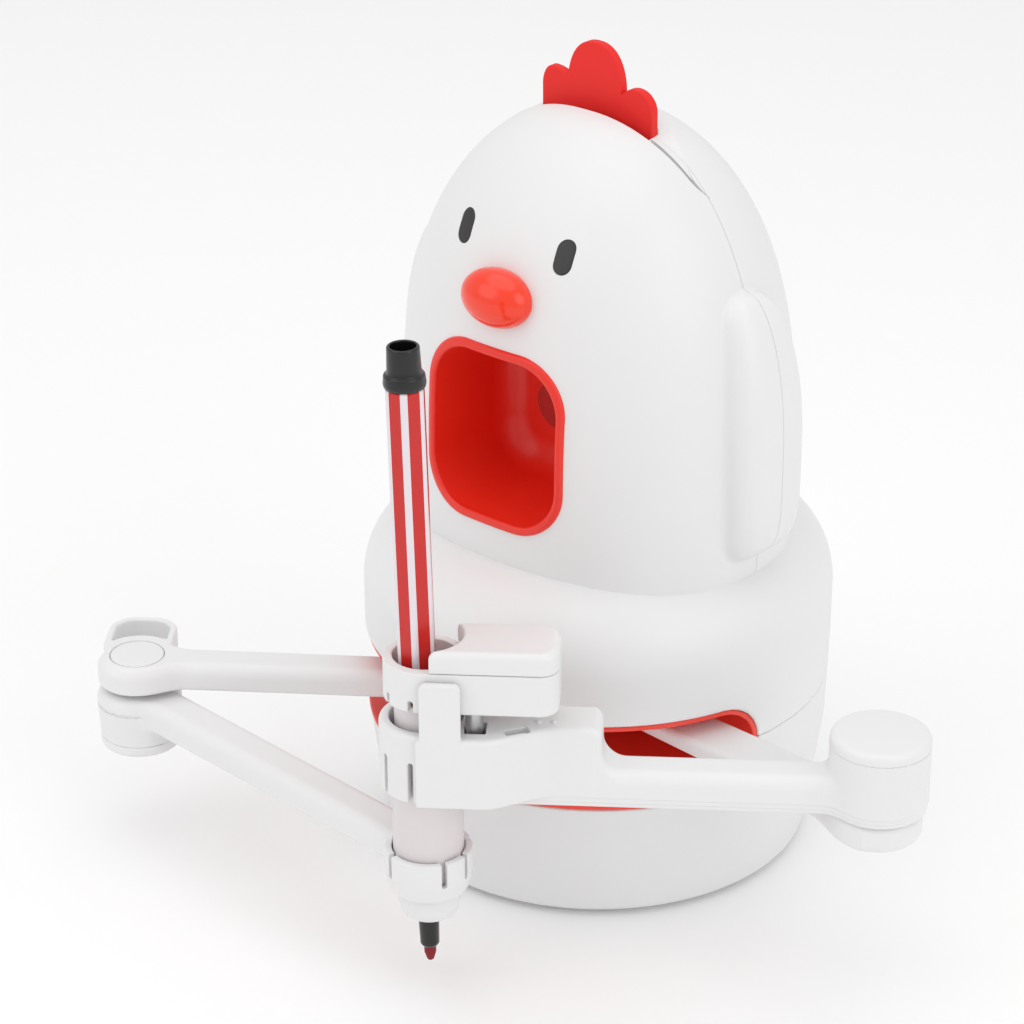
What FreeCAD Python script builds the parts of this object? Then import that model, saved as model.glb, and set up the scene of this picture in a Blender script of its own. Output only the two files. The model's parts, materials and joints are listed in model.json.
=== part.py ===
"""Desktop drawing robot: a round base, a parallel arm linkage with a pen holder, and a chick's head.

Frame: origin on the floor under the centre of the base, +Z up, the robot faces -Y. Millimetres.
"""
import FreeCAD, Part
import math
import os
import Sketcher
from FreeCAD import Placement, Rotation, Vector

DIMS = {
    # base casing
    "base_radius": 58.0, "seam_radius": 57.7, "slot_low_radius": 57.3, "heel_radius": 53.4,
    "toe_radius": 50.6, "base_low": 1.2, "heel_up": 3.6, "shell_wall": 2.2,
    "shell_seam": 44.8, "shoulder_top": 86.0, "shoulder_round": 18.5, "neck_hole": 28.5,
    # arm slot and its liner
    "slot_low": 32.4, "slot_high": 55.2, "slot_half_angle": 70.0, "slot_end_radius": 11.4,
    "liner_radius": 57.1, "liner_wall": 1.2, "liner_back": 4.4,
    # cover and feet
    "cover_radius": 49.0, "cover_thick": 2.3, "foot_radius": 5.0, "foot_high": 1.7, "foot_circle": 37.0,
    "screw_circle": 45.6, "screw_radius": 1.3, "screw_head": 2.5, "screw_head_high": 1.2,
    "speaker_back": 18.0,
    # linkage
    "shoulder_out": 19.3, "link": 102.3, "left_angle": 216.9, "right_angle": 357.2,
    "bar_half": 5.5, "bar_round": 3.2, "shoulder_hub": 12.0,
    "left_arm_low": 40.4, "left_arm_high": 48.2, "left_arm_root": 47.4,
    "left_hub_low": 41.2, "left_hub": 9.9,
    "right_arm_half": 6.5, "right_arm_round": 1.6, "right_arm_root": 47.2, "right_arm_mid": 45.2,
    "right_hub_low": 43.2, "right_hub_high": 50.3, "right_hub": 10.4,
    "hub_split_low": 44.6, "hub_split_high": 44.9,
    "left_fore_hub": 10.5, "left_fore_low": 23.9, "left_fore_high": 39.7, "left_cap_high": 3.0,
    "left_bar_low": 31.8, "left_bar_end_low": 30.4, "left_bar_end_high": 37.4,
    "right_fore_hub": 11.5, "right_fore_low": 50.6, "right_fore_high": 69.6, "right_cap_high": 2.6,
    "right_bar_low": 50.6, "right_bar_high": 59.6,
    "pin_radius": 3.0, "pin_play": 0.05, "bush_radius": 5.0, "shaft_radius": 2.5,
    "loop_out": 20.1, "loop_near": 7.8, "loop_far": 9.6, "loop_wall": 1.7,
    "loop_bevel": 2.4, "loop_low": 38.2,
    # pen holder
    "tube_radius": 8.2, "tube_neck": 7.3, "tube_bore": 6.6, "tube_low": 26.0, "tube_step": 64.0,
    "ring_play": 0.3, "ring_wall": 1.7, "ring_low": 25.4, "ring_high": 36.4,
    "nozzle_radius": 7.4, "nozzle_low": 18.6, "nozzle_bore": 3.1,
    "clamp_low": 53.2, "clamp_high": 70.8, "clamp_radius": 10.8, "clamp_front": 12.4,
    "clamp_bulge": 17.0, "clamp_neck": 27.0, "clamp_end": 40.0, "clamp_side": 5.6, "clamp_back": 6.2,
    "tab_far": 8.8, "tab_thick": 1.8, "tab_high": 84.8, "slot_wide": 1.2, "clamp_slot_up": 10.4,
    "house_low": 76.1, "house_seam": 86.4, "house_high": 91.6, "house_ring": 9.6,
    "house_bore": 7.4, "house_front": 10.0, "house_back": 6.0, "house_end": 30.4,
    "lid_start": 1.7, "lid_bore": 8.9,
    "rod_radius": 1.7, "rod_in": 11.4, "rod_side": 5.6,
    # pen
    "pen_flats": 8.3, "pen_lean": 1.3, "tip_low": 4.8, "tip_radius": 1.4, "holder_low": 8.6,
    "holder_radius": 2.35, "collar_radius": 3.9, "collar_low": 26.2, "barrel_low": 31.0,
    "barrel_high": 151.5, "core_radius": 3.2, "plug_high": 161.0, "plug_radius": 3.7,
    "plug_flange": 4.7, "flange_high": 154.6, "plug_bore": 2.9,
    # head
    "head_side": 49.2, "head_front": 40.6, "head_back": 37.6, "head_middle": 105.8, "head_top": 189.5,
    "head_wall": 2.0, "parting": -0.8, "mouth_half": 20.7, "mouth_mid": 117.3, "mouth_tall": 22.4,
    "mouth_round": 13.0, "mouth_back": 13.5, "mouth_wall": 1.8, "lens_radius": 6.0,
    "eye_out": 14.9, "eye_up": 163.1, "eye_radius": 2.3, "eye_half": 1.5,
    "beak_up": 151.5, "beak_out": 37.2,
    "wing_root": 43.6, "wing_out": 12.2, "wing_deep": 14.0, "wing_full": 116.0, "wing_rise": 37.6,
    "wing_drop": 28.0, "wing_front": 12.6, "wing_back": 11.4, "wing_foot": 87.9,
    "comb_thick": 2.4, "comb_half": 16.4, "comb_low": 168.0, "comb_shoulder": 190.6,
    "comb_side_lobe": 4.4, "comb_lobe_out": 12.0, "comb_mid_half": 8.0, "comb_mid_up": 191.6,
    "comb_slot_half": 33.0, "comb_slot_front": 3.3, "comb_slot_back": 0.7,
    "neck_plate": 34.4, "neck_screw_circle": 31.6, "neck_screw": 1.0,
}
HEAD_SQUARENESS = 2.33      # exponent of the head's plan, a little squarer than an ellipse
HEAD_FULLNESS = 2.64        # exponent of the head's side curve
HEAD_LEVELS = [-0.28, 0.0, 0.2, 0.4, 0.55, 0.68, 0.79, 0.87, 0.93, 0.97, 0.99, 0.999]
WING_LEVELS = [88.3, 89.6, 92.0, 96.0, 103.0, 116.0, 127.0, 137.0, 145.0, 150.4, 153.2]
WING_CORNER = 7.0
BEAK_SIZE = (9.6, 6.3, 7.0)     # half across, forwards and upwards
BOARD_HALF = 27.0
BOARD_FACE = 20.0           # the side of the main board that carries the chips
BOARD_THICK = 1.6
CHIPS = ((-12, 4, 1.4, 108, 124), (9, 20, 3.0, 100, 108), (-22, -10, 4.4, 94, 100))
BUTTON_UP = 64.0
BUTTON_RADIUS = 5.0
STUD_PLACES = (25.7, 29.1)  # inwards from the pen's axis

os.makedirs("parts", exist_ok=True)
doc = FreeCAD.newDocument("DrawingRobot")
sheet = doc.addObject("Spreadsheet::Sheet", "Sheet")
for row, (alias, size) in enumerate(DIMS.items(), start=1):
    sheet.set(f"A{row}", alias)
    sheet.set(f"B{row}", str(size))
    sheet.setAlias(f"B{row}", alias)
doc.recompute()

PARTS = {}


# ---- expressions on the sheet -------------------------------------------------------------------

def number(text):
    """The value of a sum of aliases and numbers, such as 'base_radius - shell_wall'."""
    total = 0.0
    sign = 1.0
    for word in text.split():
        if word in "+-":
            sign = 1.0 if word == "+" else -1.0
        else:
            total += sign * (DIMS[word] if word in DIMS else float(word))
            sign = 1.0
    return total


def difference(high, low):
    """The sum for high minus low."""
    turned = low.replace(" + ", " ~ ").replace(" - ", " + ").replace(" ~ ", " - ")
    return f"{high} - {turned}"


def on_sheet(text):
    """The same sum, written for an expression that reads the spreadsheet."""
    return " ".join("Sheet." + word if word in DIMS else word for word in text.split())


def bind(thing, prop, text):
    thing.setExpression(prop, on_sheet(text))


# ---- sketches and features ----------------------------------------------------------------------

def new_body(label):
    body = doc.addObject("PartDesign::Body", label)
    body.Label = label
    PARTS[label] = body
    return body


def new_sketch(body, role, lift=None):
    sketch = body.newObject("Sketcher::SketchObject", "Sketch")
    plane = [item for item in body.Origin.OriginFeatures if item.Role == role][0]
    sketch.AttachmentSupport = [(plane, "")]
    sketch.MapMode = "FlatFace"
    if lift:
        bind(sketch, "AttachmentOffset.Base.z", lift)
    return sketch


def fix_point(sketch, line, end, where):
    """Tie one end of a line to the sketch's origin by two distances on the sheet."""
    for kind, text in zip(("DistanceX", "DistanceY"), where):
        size = number(text)
        index = sketch.addConstraint(Sketcher.Constraint(kind, -1, 1, line, end, size))
        if text != "0":
            bind(sketch, f"Constraints[{index}]", text)


def outline(sketch, corners):
    """A closed outline of straight lines through corners that are pairs of sums."""
    flat = [Vector(number(across), number(up), 0) for across, up in corners]
    for k, corner in enumerate(flat):
        sketch.addGeometry(Part.LineSegment(corner, flat[(k + 1) % len(flat)]), False)
    for k in range(len(flat)):
        sketch.addConstraint(Sketcher.Constraint("Coincident", k, 2, (k + 1) % len(flat), 1))
    for k, where in enumerate(corners):
        fix_point(sketch, k, 1, where)


def circle(sketch, radius, at=("0", "0")):
    middle = Vector(number(at[0]), number(at[1]), 0)
    index = sketch.addGeometry(Part.Circle(middle, Vector(0, 0, 1), number(radius)), False)
    tie = sketch.addConstraint(Sketcher.Constraint("Radius", index, number(radius)))
    bind(sketch, f"Constraints[{tie}]", radius)
    fix_point(sketch, index, 3, at)


def pad(body, sketch, low, high):
    """Raise a sketch that lies at the level low, up to high."""
    feature = body.newObject("PartDesign::Pad", "Pad")
    feature.Profile = sketch
    bind(feature, "Length", difference(high, low))
    doc.recompute()
    return feature


def pocket(body, sketch, depth):
    """Cut from a sketch downwards by depth."""
    before = body.Shape.Volume
    feature = body.newObject("PartDesign::Pocket", "Pocket")
    feature.Profile = sketch
    bind(feature, "Length", depth)
    doc.recompute()
    if body.Shape.Volume > before - 1e-6:
        raise RuntimeError(f"a pocket in {body.Label} cuts nothing")
    return feature


def disc(body, radius, low, high, at=("0", "0")):
    sketch = new_sketch(body, "XY_Plane", low)
    circle(sketch, radius, at)
    return pad(body, sketch, low, high)


def hole(body, radius, top, depth, at=("0", "0")):
    sketch = new_sketch(body, "XY_Plane", top)
    circle(sketch, radius, at)
    return pocket(body, sketch, depth)


def rectangle(left, right, near, far):
    return [(left, near), (right, near), (right, far), (left, far)]


def block(body, corners, low, high):
    sketch = new_sketch(body, "XY_Plane", low)
    outline(sketch, corners)
    return pad(body, sketch, low, high)


def window(body, corners, top, depth):
    sketch = new_sketch(body, "XY_Plane", top)
    outline(sketch, corners)
    return pocket(body, sketch, depth)


def spin(body, corners, cut=False, angle=None):
    """Turn an outline in the YZ plane about Z, all the way or by an angle centred on it."""
    sketch = new_sketch(body, "YZ_Plane")
    outline(sketch, corners)
    feature = body.newObject("PartDesign::Groove" if cut else "PartDesign::Revolution", "Spin")
    feature.Profile = sketch
    feature.ReferenceAxis = (sketch, ["V_Axis"])
    feature.Angle = 360.0
    if angle:
        feature.Midplane = True
        bind(feature, "Angle", angle)
    doc.recompute()
    return feature


def soften(body, radius, wanted):
    """Round the edges of the body's last feature that the test picks out."""
    tip = body.Tip
    names = [f"Edge{k}" for k, edge in enumerate(tip.Shape.Edges, start=1) if wanted(edge)]
    if not names:
        raise RuntimeError(f"{body.Label} has no such edge to round")
    feature = body.newObject("PartDesign::Fillet", "Soften")
    feature.Base = (tip, names)
    bind(feature, "Radius", radius)
    doc.recompute()
    return feature


def hollow_out(body, wall, open_face):
    """Leave only a wall of this thickness inside the body's surface, open at one face."""
    tip = body.Tip
    names = [f"Face{k}" for k, face in enumerate(tip.Shape.Faces, start=1) if open_face(face)]
    feature = body.newObject("PartDesign::Thickness", "Hollow")
    feature.Base = (tip, names)
    feature.Reversed = True
    feature.Join = "Intersection"
    bind(feature, "Value", wall)
    doc.recompute()
    return feature


def is_circle(edge, radius, level):
    """True for a round edge of this radius at this level."""
    curve = edge.Curve
    if not isinstance(curve, Part.Circle):
        return False
    return abs(curve.Radius - radius) < 0.02 and abs(curve.Center.z - level) < 0.02


def lies_at(edge, level):
    box = edge.BoundBox
    return abs(box.ZMin - level) < 0.02 and abs(box.ZMax - level) < 0.02


def stands(edge):
    """True for a straight upright edge."""
    box = edge.BoundBox
    return box.ZLength > 0.5 and box.XLength < 0.01 and box.YLength < 0.01


# ---- plain solids for pieces that are turned or cut from stock -------------------------------------

def cylinder(radius, low, high, middle=Vector(0, 0, 0)):
    """An upright cylinder between two levels. The sizes are sums on the sheet."""
    solid = doc.addObject("Part::Cylinder", "Cylinder")
    bind(solid, "Radius", radius)
    bind(solid, "Height", difference(high, low))
    solid.Placement = Placement(Vector(middle.x, middle.y, number(low)), Rotation())
    return solid


def box(low, high):
    solid = doc.addObject("Part::Box", "Box")
    solid.Length, solid.Width, solid.Height = (high[k] - low[k] for k in range(3))
    solid.Placement = Placement(Vector(*low), Rotation())
    return solid


def joined(label, solids):
    """One piece fused from several solids."""
    fused = doc.addObject("Part::MultiFuse", label)
    fused.Shapes = solids
    fused.Refine = True
    fused.Label = label
    PARTS[label] = fused
    return fused


def group(label, solids):
    """Several alike pieces that stay separate solids in one node."""
    kept = doc.addObject("Part::Compound", label)
    kept.Links = solids
    kept.Label = label
    PARTS[label] = kept
    return kept


def cut(label, base, tool):
    piece = doc.addObject("Part::Cut", label)
    piece.Base = base
    piece.Tool = tool
    piece.Label = label
    PARTS[label] = piece
    return piece


def shaped(label, shape):
    """A piece whose shape is worked out with Part's own functions."""
    piece = doc.addObject("Part::Feature", label)
    piece.Shape = shape
    piece.Label = label
    PARTS[label] = piece
    return piece


def flat(spot):
    """A point's place on the XY plane, as a pair of sums."""
    return (f"{spot.x:.3f}", f"{spot.y:.3f}")


def around(radius, degrees, level=0.0):
    """A point on a circle about Z, by its angle from the +X axis."""
    turn = math.radians(degrees)
    return Vector(radius * math.cos(turn), radius * math.sin(turn), level)


# ---- base casing --------------------------------------------------------------------------------

SHOULDER = Vector(0, -DIMS["shoulder_out"], 0)


def cut_slot(body, inset="0"):
    """The wide arm slot: a band either side of the front, with round ends."""
    low = f"slot_low + {inset}"
    high = f"slot_high - {inset}"
    reach = "0 - base_radius - 8"
    spin(body, [(reach, low), ("0 - 1", low), ("0 - 1", high), (reach, high)], True,
         "slot_half_angle + slot_half_angle")
    for side in (-1, 1):
        slot_end(body, "PartDesign::SubtractiveCylinder", side, f"slot_end_radius - {inset}", 1.0, 70.0)


def slot_end(body, kind, side, radius, start, finish):
    """A cylinder that lies along the ray through one end of the slot."""
    feature = body.newObject(kind, "SlotEnd")
    bind(feature, "Radius", radius)
    feature.Height = finish - start
    ray = around(1.0, -90 + side * DIMS["slot_half_angle"])
    middle = (DIMS["slot_low"] + DIMS["slot_high"]) / 2
    feature.Placement = Placement(ray * start + Vector(0, 0, middle), Rotation(Vector(0, 0, 1), ray))
    doc.recompute()
    return feature


def lower_shell():
    body = new_body("base_lower_shell")
    ledge = "base_low + cover_thick"
    spin(body, [
        ("cover_radius + 0.1", "base_low"), ("toe_radius", "base_low"), ("heel_radius", "heel_up"),
        ("slot_low_radius", "slot_low"), ("seam_radius", "shell_seam"),
        ("seam_radius - shell_wall", "shell_seam"), ("slot_low_radius - shell_wall", "slot_low"),
        ("heel_radius - shell_wall", "heel_up + 2.2"), ("screw_circle - 3", "heel_up + 2.2"),
        ("screw_circle - 3", ledge), ("cover_radius + 0.1", ledge)])
    soften(body, "1.8", lambda edge: is_circle(edge, DIMS["heel_radius"], DIMS["heel_up"]))
    cut_slot(body)
    window(body, rectangle("0 - 4.8", "4.8", "50", "62"), "15.4", "4.2")
    for turn in range(45, 360, 90):
        spot = around(DIMS["screw_circle"], turn)
        hole(body, "screw_radius", "8", "7", flat(spot))
    return body


def upper_shell():
    body = new_body("base_upper_shell")
    spin(body, [("0", "shell_seam"), ("seam_radius", "shell_seam"), ("base_radius", "slot_high"),
                ("base_radius", "shoulder_top"), ("0", "shoulder_top")])
    soften(body, "shoulder_round", lambda edge: is_circle(edge, DIMS["base_radius"], DIMS["shoulder_top"]))
    hollow_out(body, "shell_wall", lambda face: face.BoundBox.ZMax < DIMS["shell_seam"] + 0.1)
    hole(body, "neck_hole", "shoulder_top + 1", "5")
    cut_slot(body)
    button = body.newObject("PartDesign::SubtractiveCylinder", "ButtonHole")
    button.Radius = BUTTON_RADIUS + 0.1
    button.Height = 10
    button.Placement = Placement(Vector(0, 52, BUTTON_UP), Rotation(Vector(0, 0, 1), Vector(0, 1, 0)))
    doc.recompute()
    return body


def liner():
    """The red tray behind the slot: floor, ceiling, round ends and a back wall."""
    body = new_body("slot_liner")
    low = "slot_low + 0.1"
    high = "slot_high - 0.1"
    reach = "0 - liner_radius"
    spin(body, [(reach, low), ("0", low), ("0", high), (reach, high)], False,
         "slot_half_angle + slot_half_angle")
    for side in (-1, 1):
        slot_end(body, "PartDesign::AdditiveCylinder", side, "slot_end_radius - 0.1", 2.0, 60.0)
    far = "liner_radius + 12"
    spin(body, [("liner_radius", "slot_low - 2"), (far, "slot_low - 2"), (far, "slot_high + 2"),
                ("liner_radius", "slot_high + 2")], True)
    cut_slot(body, "liner_wall")
    block(body, rectangle("0 - 15", "15", "0 - liner_back - 1.6", "0 - liner_back + 1"), low, high)
    window(body, rectangle("0 - 40", "40", "0 - liner_back + 1", "40"), "slot_high + 5", "30")
    hole(body, "bush_radius", "slot_high + 1", "30", ("0", "0 - shoulder_out"))
    return body


def bottom_cover():
    body = new_body("bottom_cover")
    disc(body, "cover_radius", "base_low", "base_low + cover_thick")
    for turn in range(45, 360, 90):
        spot = around(DIMS["screw_circle"], turn)
        where = flat(spot)
        hole(body, "screw_radius", "base_low + cover_thick + 1", "8", where)
        hole(body, "screw_head + 0.1", "base_low + screw_head_high", "5", where)
        spot = around(DIMS["foot_circle"], turn + 45)
        hole(body, "foot_radius", "foot_high", "5", flat(spot))
    hole(body, "foot_radius", "foot_high", "5")
    for k in range(-2, 3):
        near = f"speaker_back + {3.2 * k - 0.6:.1f}"
        where = rectangle("0 - 7", "7", near, f"{near} + 1.2")
        window(body, where, "base_low + cover_thick + 1", "8")
    return body


def feet_and_screws():
    feet = [cylinder("foot_radius", "0", "foot_high")]
    screws = []
    for turn in range(0, 360, 90):
        feet.append(cylinder("foot_radius", "0", "foot_high", around(DIMS["foot_circle"], turn + 90)))
        spot = around(DIMS["screw_circle"], turn + 45)
        head = cylinder("screw_head", "base_low", "base_low + screw_head_high", spot)
        shank = cylinder("screw_radius", "base_low + screw_head_high", "5.8", spot)
        screw = doc.addObject("Part::Fuse", "Screw")
        screw.Base = head
        screw.Tool = shank
        screws.append(screw)
    group("rubber_feet", feet)
    group("cover_screws", screws)


# ---- drives in the base -------------------------------------------------------------------------

MOTOR_CAN = 14.0
MOTOR_OFFSET = 8.0          # from the output shaft to the middle of the can
MOTOR_EAR = 17.5            # from the middle of the can to each screw


def motor(label, face, deep, boss):
    """A geared stepper. Its face is at the level face, and deep and boss are signed lengths."""
    middle = SHOULDER + Vector(0, MOTOR_OFFSET, 0)
    low, high = sorted((face, face + deep))
    can = cylinder(str(MOTOR_CAN), str(low), str(high), middle)
    low, high = sorted((face, face + boss))
    nose = cylinder("bush_radius - 0.1", str(low), str(high), SHOULDER)
    low, high = sorted((face, face + math.copysign(1.0, deep)))
    plate = box((-21.0, middle.y - 3.5, low), (21.0, middle.y + 3.5, high))
    connector = box((-7.3, middle.y + MOTOR_CAN - 2, low + 1.5), (7.3, middle.y + MOTOR_CAN + 3, high + 6))
    if deep < 0:
        connector.Placement.Base.z = low - 7.5
    stock = doc.addObject("Part::MultiFuse", label + "_stock")
    stock.Shapes = [can, nose, plate, connector]
    low, high = sorted((face + boss + math.copysign(1, boss), face + math.copysign(9.0, deep)))
    bore = cylinder("shaft_radius + pin_play", str(low), str(high), SHOULDER)
    drills = [bore]
    for side in (-1, 1):
        ear = middle + Vector(side * MOTOR_EAR, 0, 0)
        drills.append(cylinder("1.6", str(face - 3), str(face + 3), ear))
    tools = doc.addObject("Part::MultiFuse", label + "_drills")
    tools.Shapes = drills
    return cut(label, stock, tools)


def motors():
    motor("lower_motor", DIMS["slot_low"] - 0.6, -19.0, 1.4)
    motor("upper_motor", DIMS["slot_high"] + 0.6, 19.0, -1.4)
    screws = []
    for side in (-1, 1):
        spot = SHOULDER + Vector(side * MOTOR_EAR, MOTOR_OFFSET, 0)
        levels = ((DIMS["slot_low"] - 4.2, DIMS["slot_low"] - 1.6, DIMS["slot_low"] + 0.1),
                  (DIMS["slot_high"] + 1.6, DIMS["slot_high"] + 4.2, DIMS["slot_high"] - 0.1))
        for low, high, tip in levels:
            head = cylinder("2.6", str(low), str(high), spot)
            ends = sorted((tip, low if tip < low else high))
            shank = cylinder("1.4", str(ends[0]), str(ends[1]), spot)
            screw = doc.addObject("Part::Fuse", "MotorScrew")
            screw.Base = head
            screw.Tool = shank
            screws.append(screw)
    group("motor_screws", screws)


# ---- arms ---------------------------------------------------------------------------------------
# Each arm is drawn along its own X axis from its inner joint, then turned and moved into place.

def in_frame(piece, origin, degrees):
    piece.Placement = Placement(Vector(origin.x, origin.y, 0), Rotation(Vector(0, 0, 1), degrees))
    return piece


LEFT_ELBOW = SHOULDER + around(DIMS["link"], DIMS["left_angle"])
RIGHT_ELBOW = SHOULDER + around(DIMS["link"], DIMS["right_angle"])
PEN_AXIS = LEFT_ELBOW + around(DIMS["link"], DIMS["right_angle"])


def slab(body, corners, half):
    """An arm's bar: an outline in the XZ plane, made as wide as twice half."""
    sketch = new_sketch(body, "XZ_Plane")
    outline(sketch, corners)
    feature = body.newObject("PartDesign::Pad", "Slab")
    feature.Profile = sketch
    feature.Midplane = True
    bind(feature, "Length", f"{half} + {half}")
    doc.recompute()
    return feature


def bar(body, start, end, half, rounding):
    """A bar between two ends, each a place along X with a low and a high level, rounded along its top."""
    slab(body, [(start[0], start[1]), (end[0], end[1]), (end[0], end[2]), (start[0], start[2])], half)
    middle = (number(start[1]) + number(start[2]) + number(end[1]) + number(end[2])) / 4
    across = number(half)

    def along_the_top(edge):
        rim = edge.BoundBox
        if rim.XLength < 20 or rim.YLength > 0.01 or abs(abs(rim.YMin) - across) > 0.01:
            return False
        return (rim.ZMin + rim.ZMax) / 2 > middle

    soften(body, rounding, along_the_top)


def left_upper_arm():
    body = new_body("left_upper_arm")
    bar(body, ("shoulder_hub + 0.6", "left_arm_low", "left_arm_root"),
        ("link", "left_hub_low", "left_arm_high"), "bar_half", "bar_round")
    web = rectangle("0", "shoulder_hub + 1", "0 - 4.4", "4.4")
    block(body, web, "left_arm_low", "hub_split_low")
    disc(body, "shoulder_hub", "left_arm_low", "hub_split_low")
    loop = rectangle("link - loop_near", "link + loop_far", "0 - loop_out", "0")
    block(body, loop, "loop_low", "left_arm_high")
    soften(body, "6", lambda edge: stands(edge) and edge.BoundBox.YMin < 1 - DIMS["loop_out"])
    near, far = ("link - loop_near + loop_wall", "link + loop_far - loop_wall")
    edge, root = ("0 - loop_out + loop_wall", "0 - left_hub - 1")
    hollow = [(near, root), (near, f"{edge} + loop_bevel"), (f"{near} + loop_bevel", edge),
              (f"{far} - loop_bevel", edge), (far, f"{edge} + loop_bevel"), (far, root)]
    window(body, hollow, "left_arm_high + 1", "30")
    disc(body, "left_hub", "left_hub_low", "left_arm_high", ("link", "0"))
    under = rectangle("link - 9", "link + 20", "0 - 12", "12")
    window(body, under, "left_hub_low", "10")
    hole(body, "pin_radius", "left_arm_high + 1", "20", ("link", "0"))
    hole(body, "shaft_radius", "hub_split_low + 1", "30")
    hole(body, "7", "left_arm_high + 1", "2.6", ("link", "0"))
    return in_frame(body, SHOULDER, DIMS["left_angle"])


def right_upper_arm():
    body = new_body("right_upper_arm")
    slab(body, [("shoulder_hub + 0.6", "right_arm_root"), ("link - 46", "right_arm_mid + 0.8"),
                ("link - 12", "right_hub_low + 1.6"), ("link", "right_hub_low + 1"),
                ("link", "right_hub_high"), ("shoulder_hub + 0.6", "right_hub_high")], "right_arm_half")
    highest = DIMS["right_hub_high"]
    soften(body, "right_arm_round", lambda edge: lies_at(edge, highest) and edge.BoundBox.XLength > 20)
    web = rectangle("0", "shoulder_hub + 2", "0 - 4.4", "4.4")
    block(body, web, "right_arm_root + 0.2", "right_hub_high - 0.4")
    disc(body, "shoulder_hub", "hub_split_high", "right_hub_high - 0.4")
    disc(body, "right_hub", "right_hub_low", "right_hub_high", ("link", "0"))
    lowest = DIMS["right_hub_low"]
    soften(body, "0.9", lambda edge: is_circle(edge, DIMS["right_hub"], lowest))
    hole(body, "pin_radius", "right_hub_high + 1", "5", ("link", "0"))
    hole(body, "shaft_radius", "right_hub_high + 1", "12")
    return in_frame(body, SHOULDER, DIMS["right_angle"])


def ring_slot(body, middle, degrees, low, high, radius):
    """A narrow upright slot through the wall of a ring, by its direction from the ring's middle."""
    feature = body.newObject("PartDesign::SubtractiveBox", "RingSlot")
    feature.Length = 6
    bind(feature, "Width", "slot_wide")
    feature.Height = high - low
    start = around(radius - 3.5, degrees) + around(DIMS["slot_wide"] / 2, degrees - 90)
    feature.Placement = Placement(middle + start + Vector(0, 0, low), Rotation(Vector(0, 0, 1), degrees))
    doc.recompute()
    return feature


def left_forearm():
    body = new_body("left_forearm")
    floor = "left_fore_low + left_cap_high"
    bar(body, ("4", "left_bar_low", "left_fore_high"), ("link", "left_bar_end_low", "left_bar_end_high"),
        "bar_half", "bar_round")
    disc(body, "left_fore_hub", floor, "left_fore_high")
    soften(body, "1.2", lambda edge: is_circle(edge, DIMS["left_fore_hub"], DIMS["left_fore_high"]))
    ring = "tube_radius + ring_play + ring_wall"
    disc(body, ring, "ring_low", "ring_high", ("link", "0"))
    soften(body, "1.6", lambda edge: is_circle(edge, number(ring), DIMS["ring_low"]))
    hole(body, "tube_radius + ring_play", "left_bar_end_high + 1", "15", ("link", "0"))
    hole(body, "bush_radius", "left_fore_high + 1", "20")
    for degrees in (-107, -24, 14, 60, 115):
        ring_slot(body, Vector(DIMS["link"], 0, 0), degrees, DIMS["ring_low"] + 4.6, 40, number(ring))
    return in_frame(body, LEFT_ELBOW, DIMS["right_angle"])


def hub_cap(label, radius, low, high, rounded, origin):
    body = new_body(label)
    disc(body, radius, low, high)
    soften(body, "1", lambda edge: is_circle(edge, number(radius), number(rounded)))
    return in_frame(body, origin, 0)


def clamp_x(inward):
    """A distance from the pen axis towards the elbow, as a sum along the forearm's own X axis."""
    return f"link - {inward}"


def right_forearm():
    body = new_body("right_forearm")
    top = "right_fore_high - right_cap_high"
    bar(body, ("4", "right_bar_low", "right_bar_high"),
        (clamp_x("clamp_neck"), "right_bar_low", "right_bar_high"), "bar_half", "bar_round")
    disc(body, "right_fore_hub", "right_fore_low", top)
    soften(body, "1.6", lambda edge: is_circle(edge, DIMS["right_fore_hub"], DIMS["right_fore_low"]))
    block(body, [
        (clamp_x("clamp_end"), "0 - clamp_back"), (clamp_x("0"), "0 - clamp_back"),
        (clamp_x("0") + " + 1.5", "0"), (clamp_x("0") + " + 1.5", "clamp_front"),
        (clamp_x("clamp_bulge"), "clamp_front"), (clamp_x("clamp_neck"), "clamp_side"),
        (clamp_x("clamp_end"), "clamp_side")], "clamp_low", "clamp_high")
    turns = [number(clamp_x(place)) for place in ("clamp_bulge", "clamp_neck")]
    soften(body, "7", lambda edge: stands(edge) and is_near(edge, turns))
    disc(body, "clamp_radius", "clamp_low", "clamp_high", ("link", "0"))
    tab = rectangle(clamp_x("tab_far"), clamp_x("0") + " + 0.5", "clamp_front - tab_thick", "clamp_front")
    block(body, tab, "clamp_high - 1", "tab_high")
    soften(body, "1", lambda edge: edge.BoundBox.YLength > 1 and lies_at(edge, DIMS["tab_high"]))
    hole(body, "tube_radius + ring_play", "clamp_high + 1", "30", ("link", "0"))
    hole(body, "bush_radius", top + " + 1", "30")
    hole(body, "rod_radius + 0.1", "clamp_high + 1", "30", (clamp_x("rod_in"), "rod_side"))
    bay = rectangle(clamp_x("38.5"), clamp_x("14.5"), "0 - 4.4", "4.2")
    window(body, bay, "clamp_high - 3.4", "30")
    vent = [(clamp_x("23.6"), "7.2"), (clamp_x("18.8"), "5.1"), (clamp_x("18.2"), "6.4"),
            (clamp_x("23.0"), "8.5")]
    window(body, vent, "clamp_high + 1", "2.6")
    rod_well = rectangle(clamp_x("13.9"), clamp_x("9.3"), "3", "8.4")
    window(body, rod_well, "clamp_high + 1", "3")
    for degrees in (35, 75, -40):
        middle = Vector(DIMS["link"], 0, 0)
        low = DIMS["clamp_low"] - 1
        high = DIMS["clamp_low"] + DIMS["clamp_slot_up"]
        ring_slot(body, middle, degrees, low, high, DIMS["clamp_radius"])
    return in_frame(body, RIGHT_ELBOW, DIMS["left_angle"])


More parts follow.
